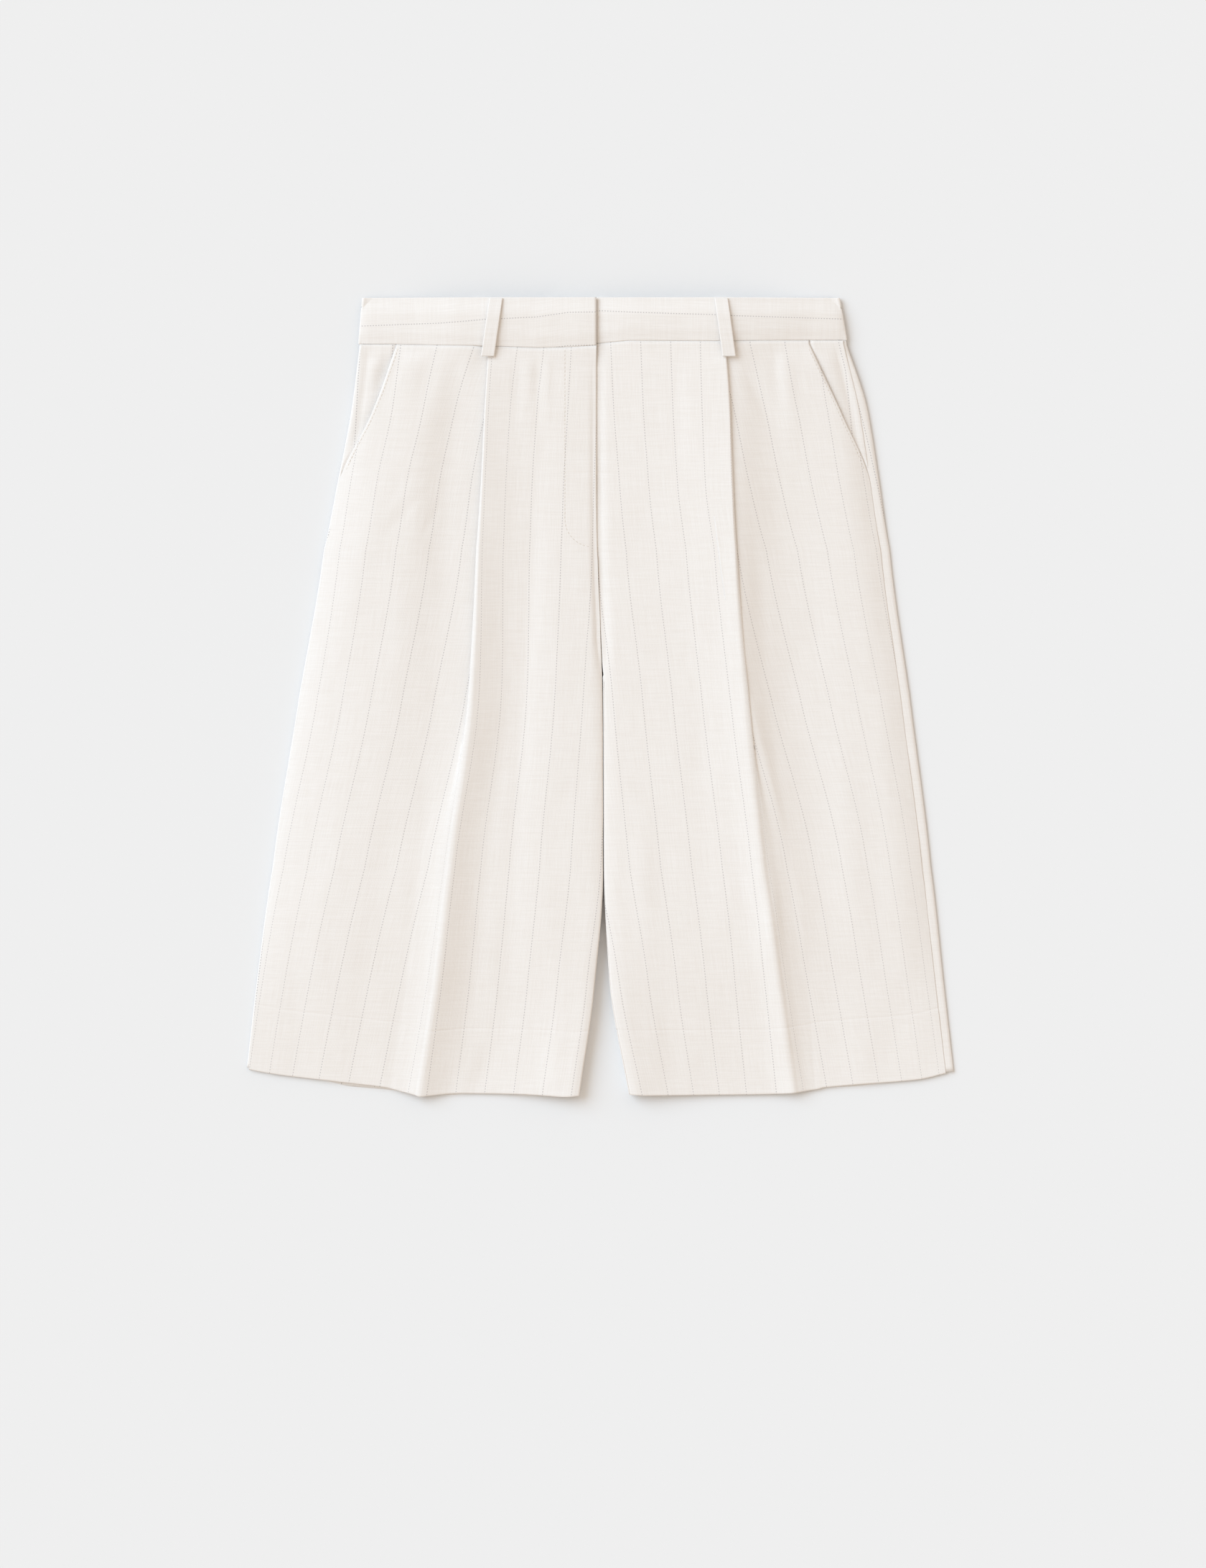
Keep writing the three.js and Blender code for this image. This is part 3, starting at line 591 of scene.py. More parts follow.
def mesh_from_grid(name, points, cloth, up=None):
    """A mesh over a grid in millimetres, which faces up or down, or is a closed tube where up is left out."""
    rows, columns = points.shape[:2]
    bm = bmesh.new()
    cloth_map = bm.loops.layers.uv.new("cloth")
    bmesh.ops.create_grid(bm, x_segments=columns - 1, y_segments=rows - 1, size=1)
    bm.verts.ensure_lookup_table()
    corner = [
        (round((v.co.y + 1) / 2 * (rows - 1)), round((v.co.x + 1) / 2 * (columns - 1))) for v in bm.verts
    ]
    for vert, (r, c) in zip(bm.verts, corner):
        vert.co = points[r, c] * MM
    for face in bm.faces:
        for loop in face.loops:
            loop[cloth_map].uv = cloth[corner[loop.vert.index]] * MM
    if up is None:
        bmesh.ops.remove_doubles(bm, verts=bm.verts, dist=1e-6)
        bmesh.ops.holes_fill(bm, edges=[e for e in bm.edges if e.is_boundary], sides=0)
        bmesh.ops.recalc_face_normals(bm, faces=bm.faces)
        return mesh_of(bm, name)
    bm.normal_update()
    if (sum(face.normal.z * face.calc_area() for face in bm.faces) > 0) != up:
        bmesh.ops.reverse_faces(bm, faces=bm.faces)
    return mesh_of(bm, name)


def add_piece(name, mesh, node, material=pinstripe_linen, slot="pinstripe_cloth"):
    """A piece on the garment's body, which stands for a node where there is one."""
    mesh.materials.append(material)
    piece = new_object(name, mesh)
    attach(piece, "root")
    if node:
        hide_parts(node)
    return piece


def add_shell(name, points, cloth, up, node, thick=None, **finish):
    """A thin cloth shell whose outer face lies on the points."""
    piece = add_piece(name, mesh_from_grid(name, points, cloth, up), node, **finish)
    solid = piece.modifiers.new("thickness", "SOLIDIFY")
    solid.thickness, solid.offset = SHELL * MM, -1
    if thick is not None:
        group = piece.vertex_groups.new(name="turned_up")
        weights = thick.reshape(-1)
        for index in np.nonzero(weights > LEAST_WEIGHT)[0]:
            group.add([int(index)], float(weights[index]), "REPLACE")
        solid.thickness = HEM_SHELL * MM
        solid.thickness_vertex_group = SHELL / HEM_SHELL
        solid.vertex_group = group.name
    return piece


def add_tube(node, points, cloth):
    """A folded strip, closed all round, that stands for a node."""
    name = f"{node}_cloth"
    return add_piece(name, mesh_from_grid(name, points, cloth), node)

# %% [markdown]
# The creases that wear and folding leave are placed one by one on the chart of the leg: soft troughs and
# ridges, each with its own place, direction, length, width and depth, uneven as the photograph shows them.

# %% Creases placed one by one
CREASES = "across depth lean length width rise"
RIGHT["creases"] = table(
    CREASES,
    (58, 300, 0.06, 170, 7, -0.9),
    (40, 60, 0.03, 26, 2.6, 0.5),
    (48, 64, 0.03, 28, 2.2, -0.45),
    (55, 58, 0.04, 22, 2.4, 0.45),
    (64, 62, 0.02, 26, 2.6, -0.5),
    (101, 48, 0.1, 15, 5, 0.7),
    (133, 64, 0.2, 26, 8, -0.9),
    (158, 56, 0.3, 22, 7, -0.8),
    (150, 166, 0.9, 17, 3.0, -0.4),
    (157, 160, 0.7, 13, 3.2, 0.35),
    (130, 172, 0.5, 12, 3.0, -0.35),
    (180, 190, 0.25, 90, 12, 0.7),
    (205, 420, 0.14, 110, 13, 0.6),
    (172, 470, 0.16, 90, 12, -0.6),
    (33, 580, 0.05, 48, 10, 1.0),
    (70, 520, 0.12, 60, 11, -0.6),
    (92, 598, 0.3, 24, 8, -0.8),
)
LEFT["creases"] = table(
    CREASES,
    (106, 44, 0.35, 16, 6, 0.8),
    (116, 66, 0.45, 26, 6, -0.8),
    (134, 52, 0.15, 24, 5, -0.6),
    (143, 66, 0.1, 40, 6, 0.7),
    (122, 228, 0.1, 60, 7, -0.6),
    (165, 250, 0.12, 120, 9, -0.5),
    (33, 446, 0.05, 42, 9, 0.8),
    (133, 468, 0.05, 28, 5, 0.7),
    (190, 410, 0.15, 120, 10, 0.8),
    (60, 90, 0.02, 40, 6, -0.5),
    (75, 330, 0.08, 110, 9, -0.6),
    (52, 565, 0.1, 40, 9, -0.6),
    (200, 570, 0.1, 50, 12, 0.6),
)

LEFT["beside_fold"] = table(CREASES, (103, 150, 0.04, 90, 13, 1.9), (107, 258, 0.08, 50, 14, 1.4))


def crease_relief(chart, across, depth):
    """How far the listed creases lift or sink the cloth."""
    total = np.zeros(np.broadcast(across, depth).shape)
    for at, deep, lean, length, width, rise in zip(*[chart[name] for name in CREASES.split()]):
        along = depth - deep
        beside = across - at - lean * along
        total = total + rise * np.exp(-(beside / width) ** 2 - (along / length) ** 2)
    return total


def cloth_unevenness(points, size, amount, seed):
    """Low soft unevenness, as in any cloth that was worn and pressed."""
    flat_points = points.reshape(-1, 3)
    lifts = [amount * noise.noise(Vector((x / size, y / (2.2 * size), seed))) for x, y, _ in flat_points]
    return np.array(lifts).reshape(points.shape[:2])

# %% [markdown]
# Each front carries the pleat. Its columns crowd together at the pleat, where the cloth bends hardest, and its
# rows at the pressed line of the turn-up and at the hem. The left front runs on a little way under the right
# front's lap, down to the end of the fly.

# %% The two fronts
TURN_UP_ROWS = np.linspace(0.904, 0.919, 15)
HEM_ROWS = 1 - np.array([0.3, 0.8, 1.4]) / 575
LEG_ROWS = np.unique(np.concatenate([np.linspace(0, 1, 206), TURN_UP_ROWS, HEM_ROWS]))
OUTER_COLUMNS, PLEAT_COLUMNS, FLY_COLUMNS = 54, 62, 52
FLY_UNDERLAP = 9


def stripe_count(leg, station, across, depth):
    """Which stripe, counted from the pleat, passes a place on the front."""
    chart = {name: read(leg["stripes"], name, depth) for name in STRIPES.split()[1:]}
    seam = read(leg["outline"], "seam", depth)
    crease = read(leg["outline"], "crease", depth)
    inner = inner_edge(leg, depth)
    out = (across - crease) / (seam - crease)
    outer = mix(chart["crease"], chart["seam"], out - chart["crowd"] * out ** 2 * (1 - out))
    inwards = (crease - across) / (crease - inner)
    fly = mix(chart["fold"], chart["centre"], inwards + chart["gather"] * inwards * (1 - inwards) ** 2)
    return mix(outer, fly, ramp(station, EDGE - 2, EDGE))


def front_stations(leg, depth):
    """The stations of each row's columns, from the side seam or the pocket's edge to the inner edge."""
    seam = read(leg["outline"], "seam", depth)
    edge = np.minimum(read(leg["outline"], "pocket", depth), seam)
    start = station_at(leg, edge, depth)
    outer = mix(start[:, None], VALLEY, np.linspace(0, 1, OUTER_COLUMNS)[None, :-1])
    pleat = np.linspace(VALLEY, FOOT, PLEAT_COLUMNS)[:-1]
    fly = np.linspace(FOOT, INNER, FLY_COLUMNS)
    rest = np.broadcast_to(np.concatenate([pleat, fly]), (len(depth), PLEAT_COLUMNS - 1 + FLY_COLUMNS))
    return np.concatenate([outer, rest], axis=1)


HEM_LINE = {"depth": 0.16, "width": 0.9}
EDGE_ROUND = 0.9
LAP_STEPS = (0.5, 1.0)
LAP_STRIPE_PITCH = 25
INSEAM_ALLOWANCE, ALLOWANCE_SINK = 1.5, 1.3
TOP_SINK, TOP_SINK_REACH = 3.0, 14
FOOT_SINK, FOOT_SINK_REACH = 1.2, 10
SIDE_SINK, SIDE_SINK_FROM, SIDE_SINK_TO = 0.58, 80, 3
BAND_STEP, BAND_STEP_REACH = 0.15, 18
UNEVEN_SIZE, UNEVEN_RISE = 22, 0.35
FADE_REACH, HEM_FADE = 16, 0.6
EDGE_TAPER, HEM_TAPER = (0.5, 4), 0.6
BESIDE_FOLD = {"least": 4.5, "open": 6.2, "tucked": 2.3, "soft": 0.3, "ends": (270, 305)}
front_skins = {}


def edge_round(distance):
    """How far a folded edge of cloth drops, at a distance from its end."""
    inside = np.clip(1 - distance / EDGE_ROUND, 0, 1)
    return EDGE_ROUND * (1 - np.sqrt(1 - inside ** 2))


def under_lap(leg, middle, depth):
    """Two more columns: the left front goes on under the lap and, below the fly, as its seam allowance."""
    on_fly = 1 - ramp(depth[:, -1], FLY_END - 4, FLY_END + 4)
    on_seam = (1 - on_fly) * (1 - ramp(depth[:, -1], CROTCH - 30, CROTCH - 10))
    reach = FLY_UNDERLAP * on_fly + INSEAM_ALLOWANCE * on_seam + 0.05
    columns = np.repeat(middle[:, -1:], len(LAP_STEPS), axis=1)
    for k, step in enumerate(LAP_STEPS):
        columns[:, k, 0] = leg["sign"] * inner_edge(leg, depth[:, -1]) - reach * step
        columns[:, k, 2] -= ALLOWANCE_SINK * on_seam * step
    return columns, reach


def band_settle(depth, foot):
    """How far the pressed band sinks at its top fold and at its seam."""
    at_top = TOP_SINK * (1 - ramp(depth, 0, TOP_SINK_REACH))
    return at_top + FOOT_SINK * ramp(depth, foot - FOOT_SINK_REACH, foot)


def side_settle(leg, height, across):
    """Lets the band and the top of the front lie flatter towards the side, where they turn round."""
    side = leg["band"]["side"][1]
    share = 1 - SIDE_SINK * ramp(across, side - SIDE_SINK_FROM, side - SIDE_SINK_TO)
    return BACK_BAND + (height - BACK_BAND) * share


def meet_band(leg, outer, across, depth, on_top=1):
    """Brings the top of a front level with the waistband's lower edge."""
    band = leg["band"]["front"]
    foot = read_straight(band, "foot", across)
    level = side_settle(leg, read_straight(band, "height", across), across)
    level = level + BAND_WALL / 2 - band_settle(foot, foot) - BAND_STEP
    near = on_top * (1 - ramp(depth - foot, 0, BAND_STEP_REACH))
    outer[..., 2] = mix(outer[..., 2], level, near)


def beside_fold(leg, stations, across, depth):
    """The soft rise beside a pleat, where the pleat's edge doesn't hide it."""
    edge_at = BESIDE_FOLD["open"] - BESIDE_FOLD["tucked"] * read(PLEAT, "closed", depth)
    hidden = ramp(stations - np.maximum(BESIDE_FOLD["least"], edge_at), 0, BESIDE_FOLD["soft"])
    in_sight = (1 - hidden) * (1 - ramp(depth, *BESIDE_FOLD["ends"]))
    return crease_relief(leg["beside_fold"], across, depth) * in_sight


def build_front(leg):
    name = f"front_{leg['name']}"
    side_depth = front_depth(leg, np.zeros(len(LEG_ROWS)), LEG_ROWS)
    stations = front_stations(leg, side_depth)
    depth = front_depth(leg, stations, LEG_ROWS[:, None])
    across, height = front_at(leg, stations, depth)
    height = settle_hem(height, depth, through(leg["hem"], stations), stations)
    middle = placed(leg, across, depth, height)
    count = stripe_count(leg, stations, across, depth)
    if leg is LEFT:
        columns, reach = under_lap(leg, middle, depth)
        middle = np.concatenate([middle, columns], axis=1)
        beyond = [count[:, -1:] - reach[:, None] * step / LAP_STRIPE_PITCH for step in LAP_STEPS]
        count = np.concatenate([count, *beyond], axis=1)
        wider = (0, 0), (0, len(LAP_STEPS))
        depth, across, stations = [np.pad(values, wider, "edge") for values in (depth, across, stations)]
    hem = through(leg["hem"], stations)
    turn_up = hem - HEM_TURN_UP
    relief = crease_relief(leg["creases"], across, depth)
    relief = relief + cloth_unevenness(middle, UNEVEN_SIZE, UNEVEN_RISE, leg["sign"])
    if leg is LEFT:
        relief = relief + beside_fold(leg, stations, across, depth)
    fade = ramp(depth, SEAM_DEPTH, SEAM_DEPTH + FADE_REACH)
    fade = fade * (1 - HEM_FADE * ramp(depth, LENGTH - FADE_REACH, LENGTH))
    from_side = run_along(middle)
    to_inner = from_side[:, -1:] - from_side
    mouth = read(leg["outline"], "seam", side_depth) - read(leg["outline"], "pocket", side_depth)
    groove = HEM_LINE["depth"] * np.exp(-((depth - turn_up) / HEM_LINE["width"]) ** 2)
    drop = edge_round(from_side) * ramp(mouth, 0, 2)[:, None] + edge_round(hem - depth) + groove
    if leg is RIGHT:
        drop = drop + edge_round(to_inner) * (1 - ramp(depth, FLY_END, FLY_END + 8))
    lift = OUTWARD + relief * fade - drop
    outer = middle + grid_normals(middle, up=True) * lift[..., None]
    on_top = 1 - ramp(stations, VALLEY, VALLEY + 0.6) + ramp(stations, EDGE - 0.6, EDGE)
    meet_band(leg, outer, across, depth, on_top)
    cloth = np.stack([count * PINSTRIPE_PITCH / MM, depth], axis=-1)
    at_edges = ramp(from_side, *EDGE_TAPER) * ramp(to_inner, *EDGE_TAPER)
    at_edges = at_edges * (1 - HEM_TAPER * ramp(depth, hem - 2.5, hem - 0.3))
    thick = ramp(depth, turn_up - 1, turn_up + 1) * at_edges
    front_skins[leg["name"]] = outer
    return add_shell(f"{name}_cloth", outer, cloth, True, name, thick)


fronts = both(build_front)
print("front columns and rows:", OUTER_COLUMNS + PLEAT_COLUMNS + FLY_COLUMNS - 2, len(LEG_ROWS))

# %% [markdown]
# The backs lie under the fronts. Each turns round the side up to the side seam, and below the crotch it
# turns up at the inner edge to the inseam. Their stripes run straight down the leg.

# %% The two backs
BACK_HEM_SHORTER = 1.5
REST = WALL / 2
BACK_ROWS = 150
BACK_LIFT_ENDS = (52, 88)
CREASED_FROM, CREASED_TO, CREASED_INSIDE = (60, 100), (560, 590), (12, 30)
RIGHT["back_creases"] = table(
    CREASES,
    (60, 180, -0.5, 70, 9, 1.3),
    (110, 260, -0.3, 90, 11, 1.0),
    (150, 150, -0.7, 50, 8, 0.9),
    (90, 400, 0.1, 110, 12, 1.2),
    (180, 440, 0.15, 80, 10, 0.9),
    (140, 530, 0.1, 50, 9, 0.8),
)
LEFT["back_creases"] = table(
    CREASES,
    (70, 150, -0.6, 60, 8, 1.1),
    (100, 230, -0.35, 80, 10, 1.3),
    (170, 210, -0.4, 60, 9, 0.8),
    (80, 380, 0.08, 120, 13, 1.0),
    (160, 400, 0.12, 70, 9, 1.1),
    (120, 500, 0.14, 60, 10, 0.9),
)


def build_back(leg):
    name = f"back_{leg['name']}"
    shares = np.linspace(0, 1, BACK_ROWS)
    ones = np.ones(BACK_ROWS)
    seam_depth = front_depth(leg, SEAM * ones, shares)
    inner_depth = front_depth(leg, INNER * ones, shares) - BACK_HEM_SHORTER * shares
    seam = read(leg["outline"], "seam", seam_depth)
    side = seam + read(leg["outline"], "strip", seam_depth)
    seam_height = read(leg["heights"], "seam", seam_depth)
    inner = inner_edge(leg, inner_depth)
    apart = parted(inner_depth)
    seam_height = settle_hem(seam_height, seam_depth, leg["hem"][SEAM], SEAM)
    inseam = settle_hem(read(leg["heights"], "inner", inner_depth), inner_depth, leg["hem"][INNER], INNER)
    inner_height = mix(REST, inseam - 0.8, apart)
    lift = BACK_LIFT * (1 - ramp(seam_depth, *BACK_LIFT_ENDS))
    side_points = [
        (seam - 1.4, seam_height - 1.0),
        (seam + 0.15, seam_height - 0.35),
        (mix(seam, side, 0.72), mix(seam_height, lift, 0.2)),
        (side, mix(seam_height, lift, 0.5)),
        (side - 0.9, lift + mix(REST, seam_height - lift, 0.22)),
        (side - 3, lift + REST + 0.25),
    ]
    flat_from, flat_to = side - 7, inner + mix(4.5, 7, apart)
    flat = [(mix(flat_from, flat_to, part), lift + REST) for part in (0, 0.12, 0.3, 0.5, 0.7, 0.88, 1)]
    inner_points = [
        (inner + mix(3, 3.2, apart), lift + REST + 0.2 * apart),
        (inner + mix(1.4, 0.4, apart), lift + mix(REST, mix(REST, inner_height, 0.3), apart)),
        (inner, lift + inner_height),
    ]
    points = [*side_points, *flat, *inner_points]
    lines = np.array([(a + 0 * ones, h + 0 * ones) for a, h in points])[..., None]
    steps = np.concatenate([np.linspace(0, 6, 32)[:-1], np.linspace(6, 12, 49)[:-1], np.linspace(12, 15, 13)])
    position = np.broadcast_to(steps, (BACK_ROWS, len(steps)))
    across, height = through(lines[:, 0], position), through(lines[:, 1], position)
    from_side, from_inner, down = side[:, None] - across, across - inner[:, None], shares[:, None]
    station = mix(SEAM, INNER, np.clip(from_side / (side - inner)[:, None], 0, 1))
    depth = front_depth(leg, station, down) - BACK_HEM_SHORTER * down ** 2
    to_back_band = leg["band"]["front"]["foot"][-1] - band_seam(leg, station)
    depth = depth + to_back_band * (1 - down) * ramp(from_side, 4, 20)
    middle = placed(leg, across, depth, height)
    lying = ramp(from_side, *CREASED_INSIDE) * ramp(from_inner, *CREASED_INSIDE)
    lying = lying * ramp(depth, *CREASED_FROM) * (1 - ramp(depth, *CREASED_TO))
    relief = np.maximum(0, crease_relief(leg["back_creases"], across, depth)) * lying
    outer = middle + grid_normals(middle, up=False) * (OUTWARD - relief)[..., None]
    stripe_from = ((side + inner) / 2 - side)[:, None]
    cloth = np.stack([run_along(middle) + stripe_from, depth], axis=-1)
    return add_shell(f"{name}_cloth", outer, cloth, False, name)


backs = both(build_back)

# %% [markdown]
# A pocket's side piece fills the corner outside the slanting pocket edge and runs on under the front, one
# layer down, as the pocket mouth of a real pair does.

# %% The pocket side pieces
POCKET_UNDERLAP = 18
POCKET_DROP, LEAST_DROP = 1.9, 1.05
POCKET_SHARE = 0.222
POCKET_STRIPE_PITCH = 24.5
NARROW_MOUTH, WIDE_MOUTH = 2, 14
RIGHT["gape"] = table(CREASES, (165, 58, 0.3, 22, 8, 2.8), (176, 92, 0.45, 16, 6, 1.3))
LEFT["gape"] = table(CREASES, (172, 66, 0.45, 30, 6, 0.7))


def build_pocket_side(leg):
    name = f"pocket_side_{leg['name']}"
    part = np.linspace(0, POCKET_SHARE, 60)
    depth_row = mix(band_seam(leg, 0.0), leg["hem"][SEAM], part)
    seam = read(leg["outline"], "seam", depth_row)
    slant = read(leg["outline"], "pocket", depth_row)
    start = station_at(leg, seam, depth_row)
    end = station_at(leg, slant - POCKET_UNDERLAP, depth_row)
    stations = mix(start[:, None], end[:, None], np.linspace(0, 1, 40)[None, :])
    depth = front_depth(leg, stations, part[:, None])
    across, height = front_at(leg, stations, depth)
    under_front = ramp(slant[:, None] + 2 - across, 0, 2)
    below_band = ramp(depth - leg["band"]["front"]["foot"][-1], 0, 16)
    covered = np.maximum(ramp(seam[:, None] - across, 0, 7) * below_band, under_front)
    middle = placed(leg, across, depth, height)
    normals = grid_normals(middle, up=True)
    gape = np.maximum(0, crease_relief(leg["gape"], across, depth))
    outer = middle + normals * (OUTWARD - gape)[..., None]
    meet_band(leg, outer, across, depth)
    drop = mix(LEAST_DROP, POCKET_DROP, ramp(seam - slant, NARROW_MOUTH, WIDE_MOUTH))
    outer = outer - normals * (drop[:, None] * covered)[..., None]
    count = (across - read(leg["pocket_stripe"], "across", depth)) / POCKET_STRIPE_PITCH
    cloth = np.stack([count * PINSTRIPE_PITCH / MM, depth], axis=-1)
    return add_shell(f"{name}_cloth", outer, cloth, True, name)


pocket_sides = both(build_pocket_side)

# %% [markdown]
# The waistband and the belt loops are strips folded on themselves, so they are closed tubes with rounded
# edges. The section is a flat ring of points, and the ring is carried along the strip.

# %% The waistband
BAND_WIDTH = 36.0
RIGHT["band_creases"] = table(
    CREASES,
    (14, 20, 0.0, 30, 9, 0.35),
    (52, 14, 0.3, 18, 8, -0.3),
    (70, 26, 0.2, 14, 6, -0.35),
    (112, 20, 0.15, 22, 9, 0.3),
    (142, 24, -0.2, 18, 8, -0.35),
)
LEFT["band_creases"] = table(
    CREASES,
    (30, 18, 0.1, 26, 10, 0.3),
    (66, 22, -0.25, 16, 8, -0.3),
    (112, 26, 0.2, 16, 7, -0.35),
    (136, 16, 0.1, 20, 9, 0.3),
    (160, 22, -0.1, 18, 8, -0.3),
)


def ring(width, wall):
    """A flat closed section with rounded ends: offsets along the width and through the wall."""
    radius = wall / 2
    turn = np.linspace(-math.pi / 2, math.pi / 2, 9)
    flat_part = np.linspace(-1, 1, 25)[1:-1] * (width / 2 - radius)
    end = np.stack([width / 2 - radius + radius * np.cos(turn), radius * np.sin(turn)], axis=-1)
    side = np.stack([-flat_part, np.full(len(flat_part), radius)], axis=-1)
    return np.concatenate([end, side, -end, -side, end[:1]])


def band_line(leg, part):
    """Places across and heights along the band, at a share of its width."""
    band = leg["band"]
    side = mix(*band["side"], part)
    back_from = side - BAND_SIDE["inwards"][-1]
    back = [mix(back_from, band["back_inner"], share) for share in (0.15, 0.36, 0.57, 0.78, 1)]
    across = np.concatenate([band["front"]["across"], side - BAND_SIDE["inwards"], back])
    height = np.concatenate([band["front"]["height"], BAND_SIDE["height"], [BACK_BAND] * len(back)])
    return across, height


def build_waistband(leg):
    steps = len(band_line(leg, 0)[0]) - 1
    position = np.linspace(0, steps, steps * 9 + 1)
    offsets = ring(BAND_WIDTH, BAND_WALL)
    share = np.clip(offsets[:, 0] / BAND_WIDTH + 0.5, 0, 1)
    lines = np.array([[through(line, position) for line in band_line(leg, part)] for part in share])
    across, height = lines[:, 0], lines[:, 1]
    in_front = ramp(height, BACK_BAND + 1.5, BACK_BAND + 6)
    foot_at = np.where(height > BACK_BAND + 1, across, leg["band"]["side"][1])
    foot = read_straight(leg["band"]["front"], "foot", foot_at)
    depth = share[:, None] * foot
    ripple = crease_relief(leg["band_creases"], across, depth)
    height = side_settle(leg, height, across) + in_front * (ripple - band_settle(depth, foot))
    middle = placed(leg, across, depth, height)
    normals = unit(np.cross(np.gradient(middle, axis=1), np.array([0.0, -1.0, 0.0])))
    if normals[:, : len(position) // 4, 2].mean() < 0:
        normals = -normals
    points = middle + normals * offsets[:, 1, None, None]
    stripe_depth = read_straight(leg["band_stripe"], "depth", across)
    cloth = np.stack([depth - stripe_depth, run_along(middle)], axis=-1)
    return add_tube(f"waistband_{leg['name']}", points, cloth)


waistbands = both(build_waistband)

# %% [markdown]
# Five belt loops carry the belt. The two in front bow a little clear of the band, and the three at the back
# lie flat under it.

# %% The belt loops
LOOP_WIDTH = 10.2
LOOP_BOW = 1.0
LOOP_TOP, LOOP_FOOT = 0.8, 45.5
LOOP_BESIDE_STRIPE = 12
BACK_LOOP_ACROSS = 92


def add_loop(node, spine):
    """A folded strip along a spine of points, each with its sideways direction taken as level."""
    offsets = ring(LOOP_WIDTH, LOOP_WALL)
    sideways = np.array([1.0, 0.0, 0.0])
    normals = unit(np.cross(sideways, np.gradient(spine, axis=0)))
    normals[normals[:, 2] < 0] *= -1
    points = spine[:, None] + sideways * offsets[None, :, :1] + normals[:, None] * offsets[None, :, 1:]
    cloth = np.broadcast_arrays(offsets[None, :, 0] + LOOP_BESIDE_STRIPE, -spine[:, None, 1])
    return add_tube(node, points, np.stack(cloth, axis=-1))


def build_front_loop(leg):
    part = np.linspace(0, 1, 40)
    depth = mix(LOOP_TOP, LOOP_FOOT, part)
    middle = mix(*leg["loop"], part)
    on_panel = ramp(depth, 34, 42)
    bow = LOOP_BOW * np.sin(math.pi * np.clip((part - 0.04) / 0.92, 0, 1)) ** 0.6
    edges = [middle - LOOP_WIDTH / 2, middle + LOOP_WIDTH / 2]
    base = np.maximum(*[read_straight(leg["band"]["front"], "height", edge) for edge in edges]) + BAND_WALL / 2
    ridge = read(leg["heights"], "edge", depth) + WALL / 2
    seat = mix(base, np.maximum(base, ridge), on_panel)
    settle = band_settle(depth, LOOP_FOOT) * (1 - on_panel)
    height = seat + SEAM_GAP + LOOP_WALL / 2 + bow - settle
    return add_loop(f"belt_loop_front_{leg['name']}", placed(leg, middle, depth, height))


def build_back_loop(side, across):
    depth = np.linspace(LOOP_TOP, LOOP_FOOT, 24)
    spine = np.stack([across + 0 * depth, LENGTH / 2 - depth, LOOP_WALL / 2 + 0 * depth], axis=-1)
    return add_loop(f"belt_loop_back_{side}", spine)


front_loops = both(build_front_loop)
back_places = (("right", -BACK_LOOP_ACROSS), ("left", BACK_LOOP_ACROSS), ("centre", 0))
back_loops = [build_back_loop(side, across) for side, across in back_places]

# %% [markdown]
# The fly closes with a zip under the lap and a hook and bar under the waistband. None of them shows from
# outside. The zip's tape gets a shell of its own, and the two small metal parts keep their shape from the
# frame.

# %% The closure
ZIP_WIDTH, ZIP_FROM, ZIP_TO = 22, 40, 188
ZIP_BEYOND, ZIP_COLUMNS = 3, 13
LAYER_DROP = WALL + SEAM_GAP


def build_zip():
    depth = np.linspace(ZIP_FROM, ZIP_TO, 60)[:, None] + np.zeros((1, ZIP_COLUMNS))
    middle = inner_edge(LEFT, depth) - FLY_UNDERLAP - ZIP_BEYOND
    height = read(LEFT["heights"], "inner", depth) - LAYER_DROP
    across = middle + np.linspace(-0.5, 0.5, ZIP_COLUMNS)[None, :] * ZIP_WIDTH
    points = placed(LEFT, across, depth, height)
    points = points + grid_normals(points, up=True) * SHELL / 2
    cloth = np.stack([across, depth], axis=-1)
    return add_shell("zip_tape", points, cloth, True, "zip", material=plain_tape, slot="zip_tape")


zip_tape = build_zip()
for name in ("waist_hook", "waist_bar"):
    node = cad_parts[name]
    node.data.materials.clear()
    node.data.materials.append(nickel)

# %% [markdown]
# Rows of lockstitch show on the right side of the cloth: the curved row that holds the fly facing, and a row
# beside each pocket edge. Each stitch is a small rounded piece of cotton thread that lies half sunk in the
# cloth, as a real stitch does when the tension is right.

# %% Stitches
STITCH_LENGTH, STITCH_SPACE, THREAD = 2.5, 3.1, 0.42
PLY_PITCH = 0.35 * MM
thread, tree, surface = new_material("cotton_thread", {"Roughness": 0.7, "Sheen Weight": 0.2})
place = add_node(tree, "ShaderNodeTexCoord")
# The thread's colour changes in diagonal bands along its twist: the darker bands are painted shade in the
# grooves between the plies, and the paler ones are painted light on their crests.
ply_shade_mask = add_waves(tree, place.outputs["Object"], PLY_PITCH, "DIAGONAL")
painted_ply_shading = mix_colours(tree, ply_shade_mask, linear("#CFC4B5"), linear("#E2D9CC"))
tree.links.new(painted_ply_shading, surface.inputs["Base Color"])


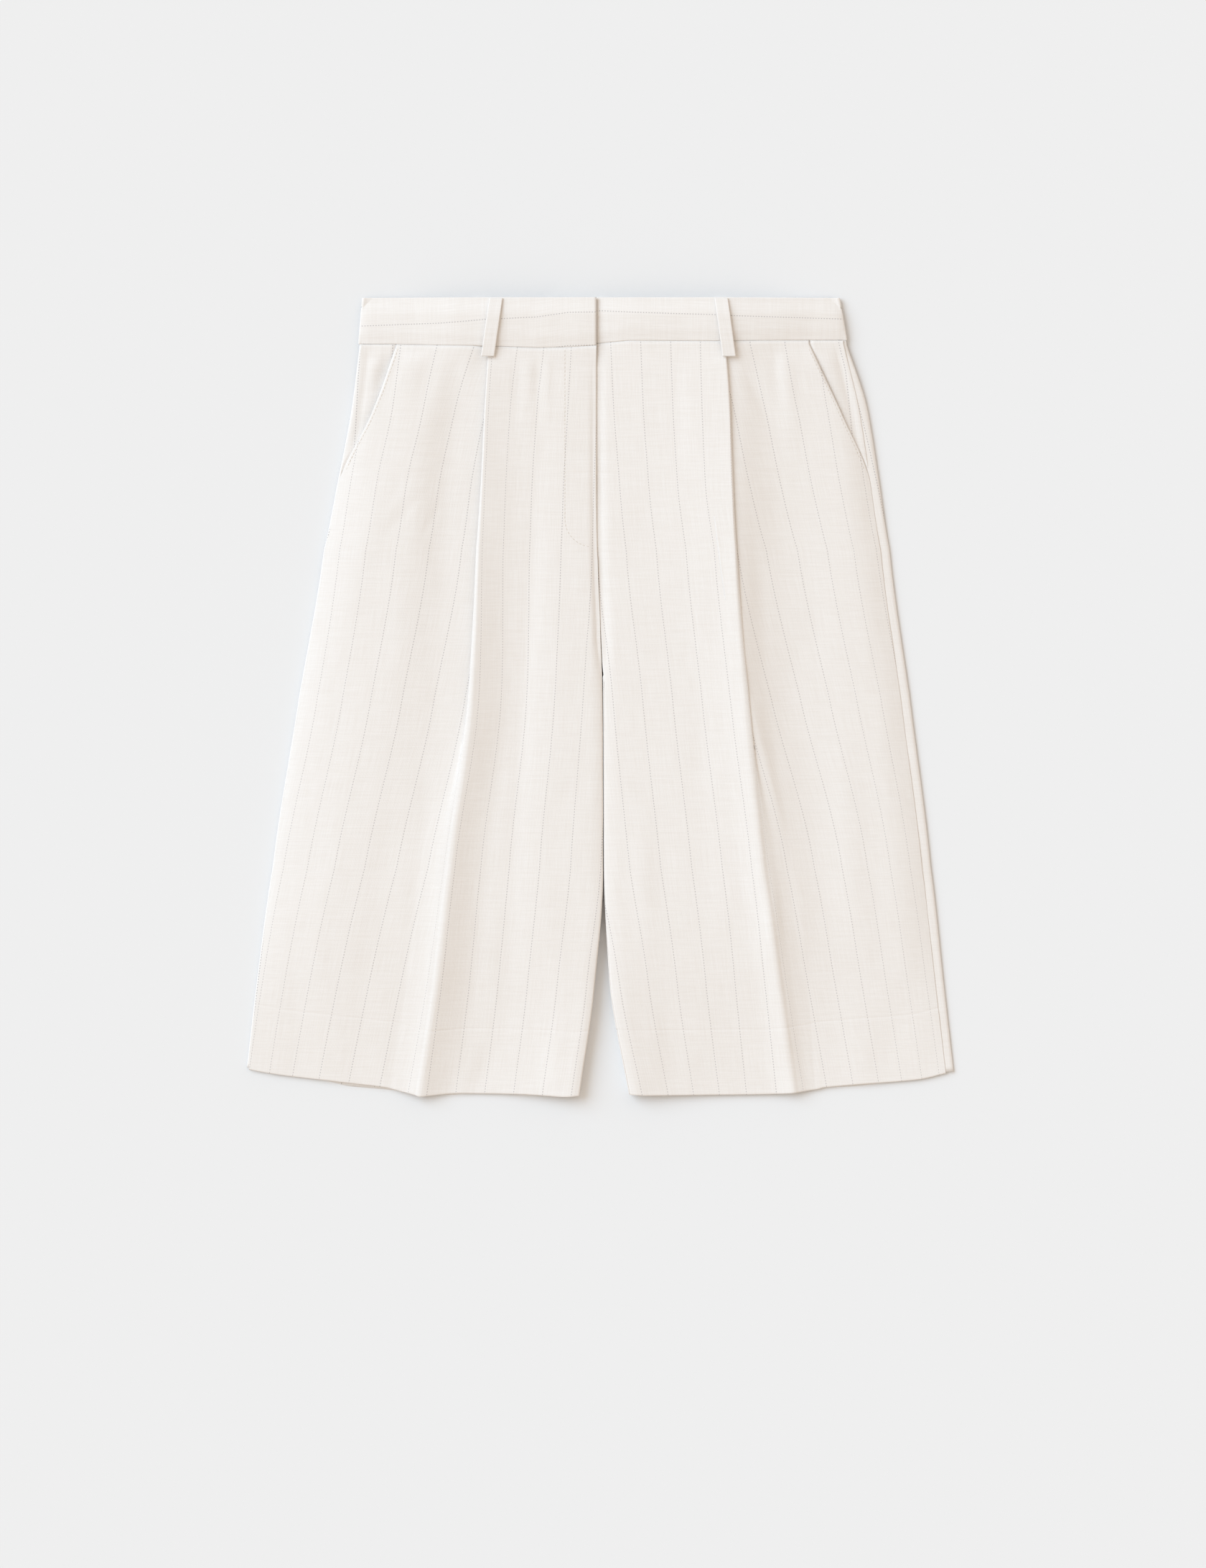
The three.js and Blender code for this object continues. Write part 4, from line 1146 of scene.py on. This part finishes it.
def height_over(skin, x, y):
    """The height of a piece's outer face at a place, from the nearest corner of its grid."""
    flat_skin = skin.reshape(-1, 3)
    nearest = np.argmin((flat_skin[:, 0] - x) ** 2 + (flat_skin[:, 1] - y) ** 2)
    return flat_skin[nearest, 2]


def on_front(leg, across, depth):
    """A path on a front's outer face."""
    x, y = leg["sign"] * across, LENGTH / 2 - depth
    skin = front_skins[leg["name"]]
    return np.array([(a, b, height_over(skin, a, b)) for a, b in zip(x, y)])


def add_stitches(name, path):
    """Stitches along a path of points in millimetres."""
    bm = bmesh.new()
    run = run_along(path[None])[0]
    starts = np.arange(0, run[-1] - STITCH_LENGTH, STITCH_SPACE)
    for start in starts:
        ends = [[np.interp(at, run, path[:, k]) for k in range(3)] for at in (start, start + STITCH_LENGTH)]
        first, last = Vector(ends[0]), Vector(ends[1])
        turn = (last - first).to_track_quat("X", "Z")
        for vert in bmesh.ops.create_icosphere(bm, subdivisions=1, radius=0.5)["verts"]:
            x, y, z = vert.co
            vert.co = (turn @ Vector((x * STITCH_LENGTH, y * THREAD, z * THREAD)) + (first + last) / 2) * MM
    print(name, len(starts), "stitches")
    return add_piece(name, mesh_of(bm, name), None, material=thread)


FLY_STITCH_ACROSS, FLY_STITCH_BEND = 27, 21
STITCH_TOP, FLY_BEND_FROM = 40, 170
POCKET_STITCHES, POCKET_STITCH_IN = (39, 134), 2.4
quarter = np.linspace(0, math.pi / 2, 14)
fly_across = FLY_STITCH_ACROSS - FLY_STITCH_BEND * (1 - np.cos(np.pad(quarter, (20, 0))))
straight = np.linspace(STITCH_TOP, FLY_BEND_FROM - 2, 20)
fly_depth = np.concatenate([straight, FLY_BEND_FROM + FLY_STITCH_BEND * np.sin(quarter)])
add_stitches("fly_stitches", on_front(RIGHT, fly_across, fly_depth))
for leg in (RIGHT, LEFT):
    depth = np.linspace(*POCKET_STITCHES, 40)
    beside = read(leg["outline"], "pocket", depth) - POCKET_STITCH_IN
    add_stitches(f"pocket_stitches_{leg['name']}", on_front(leg, beside, depth))
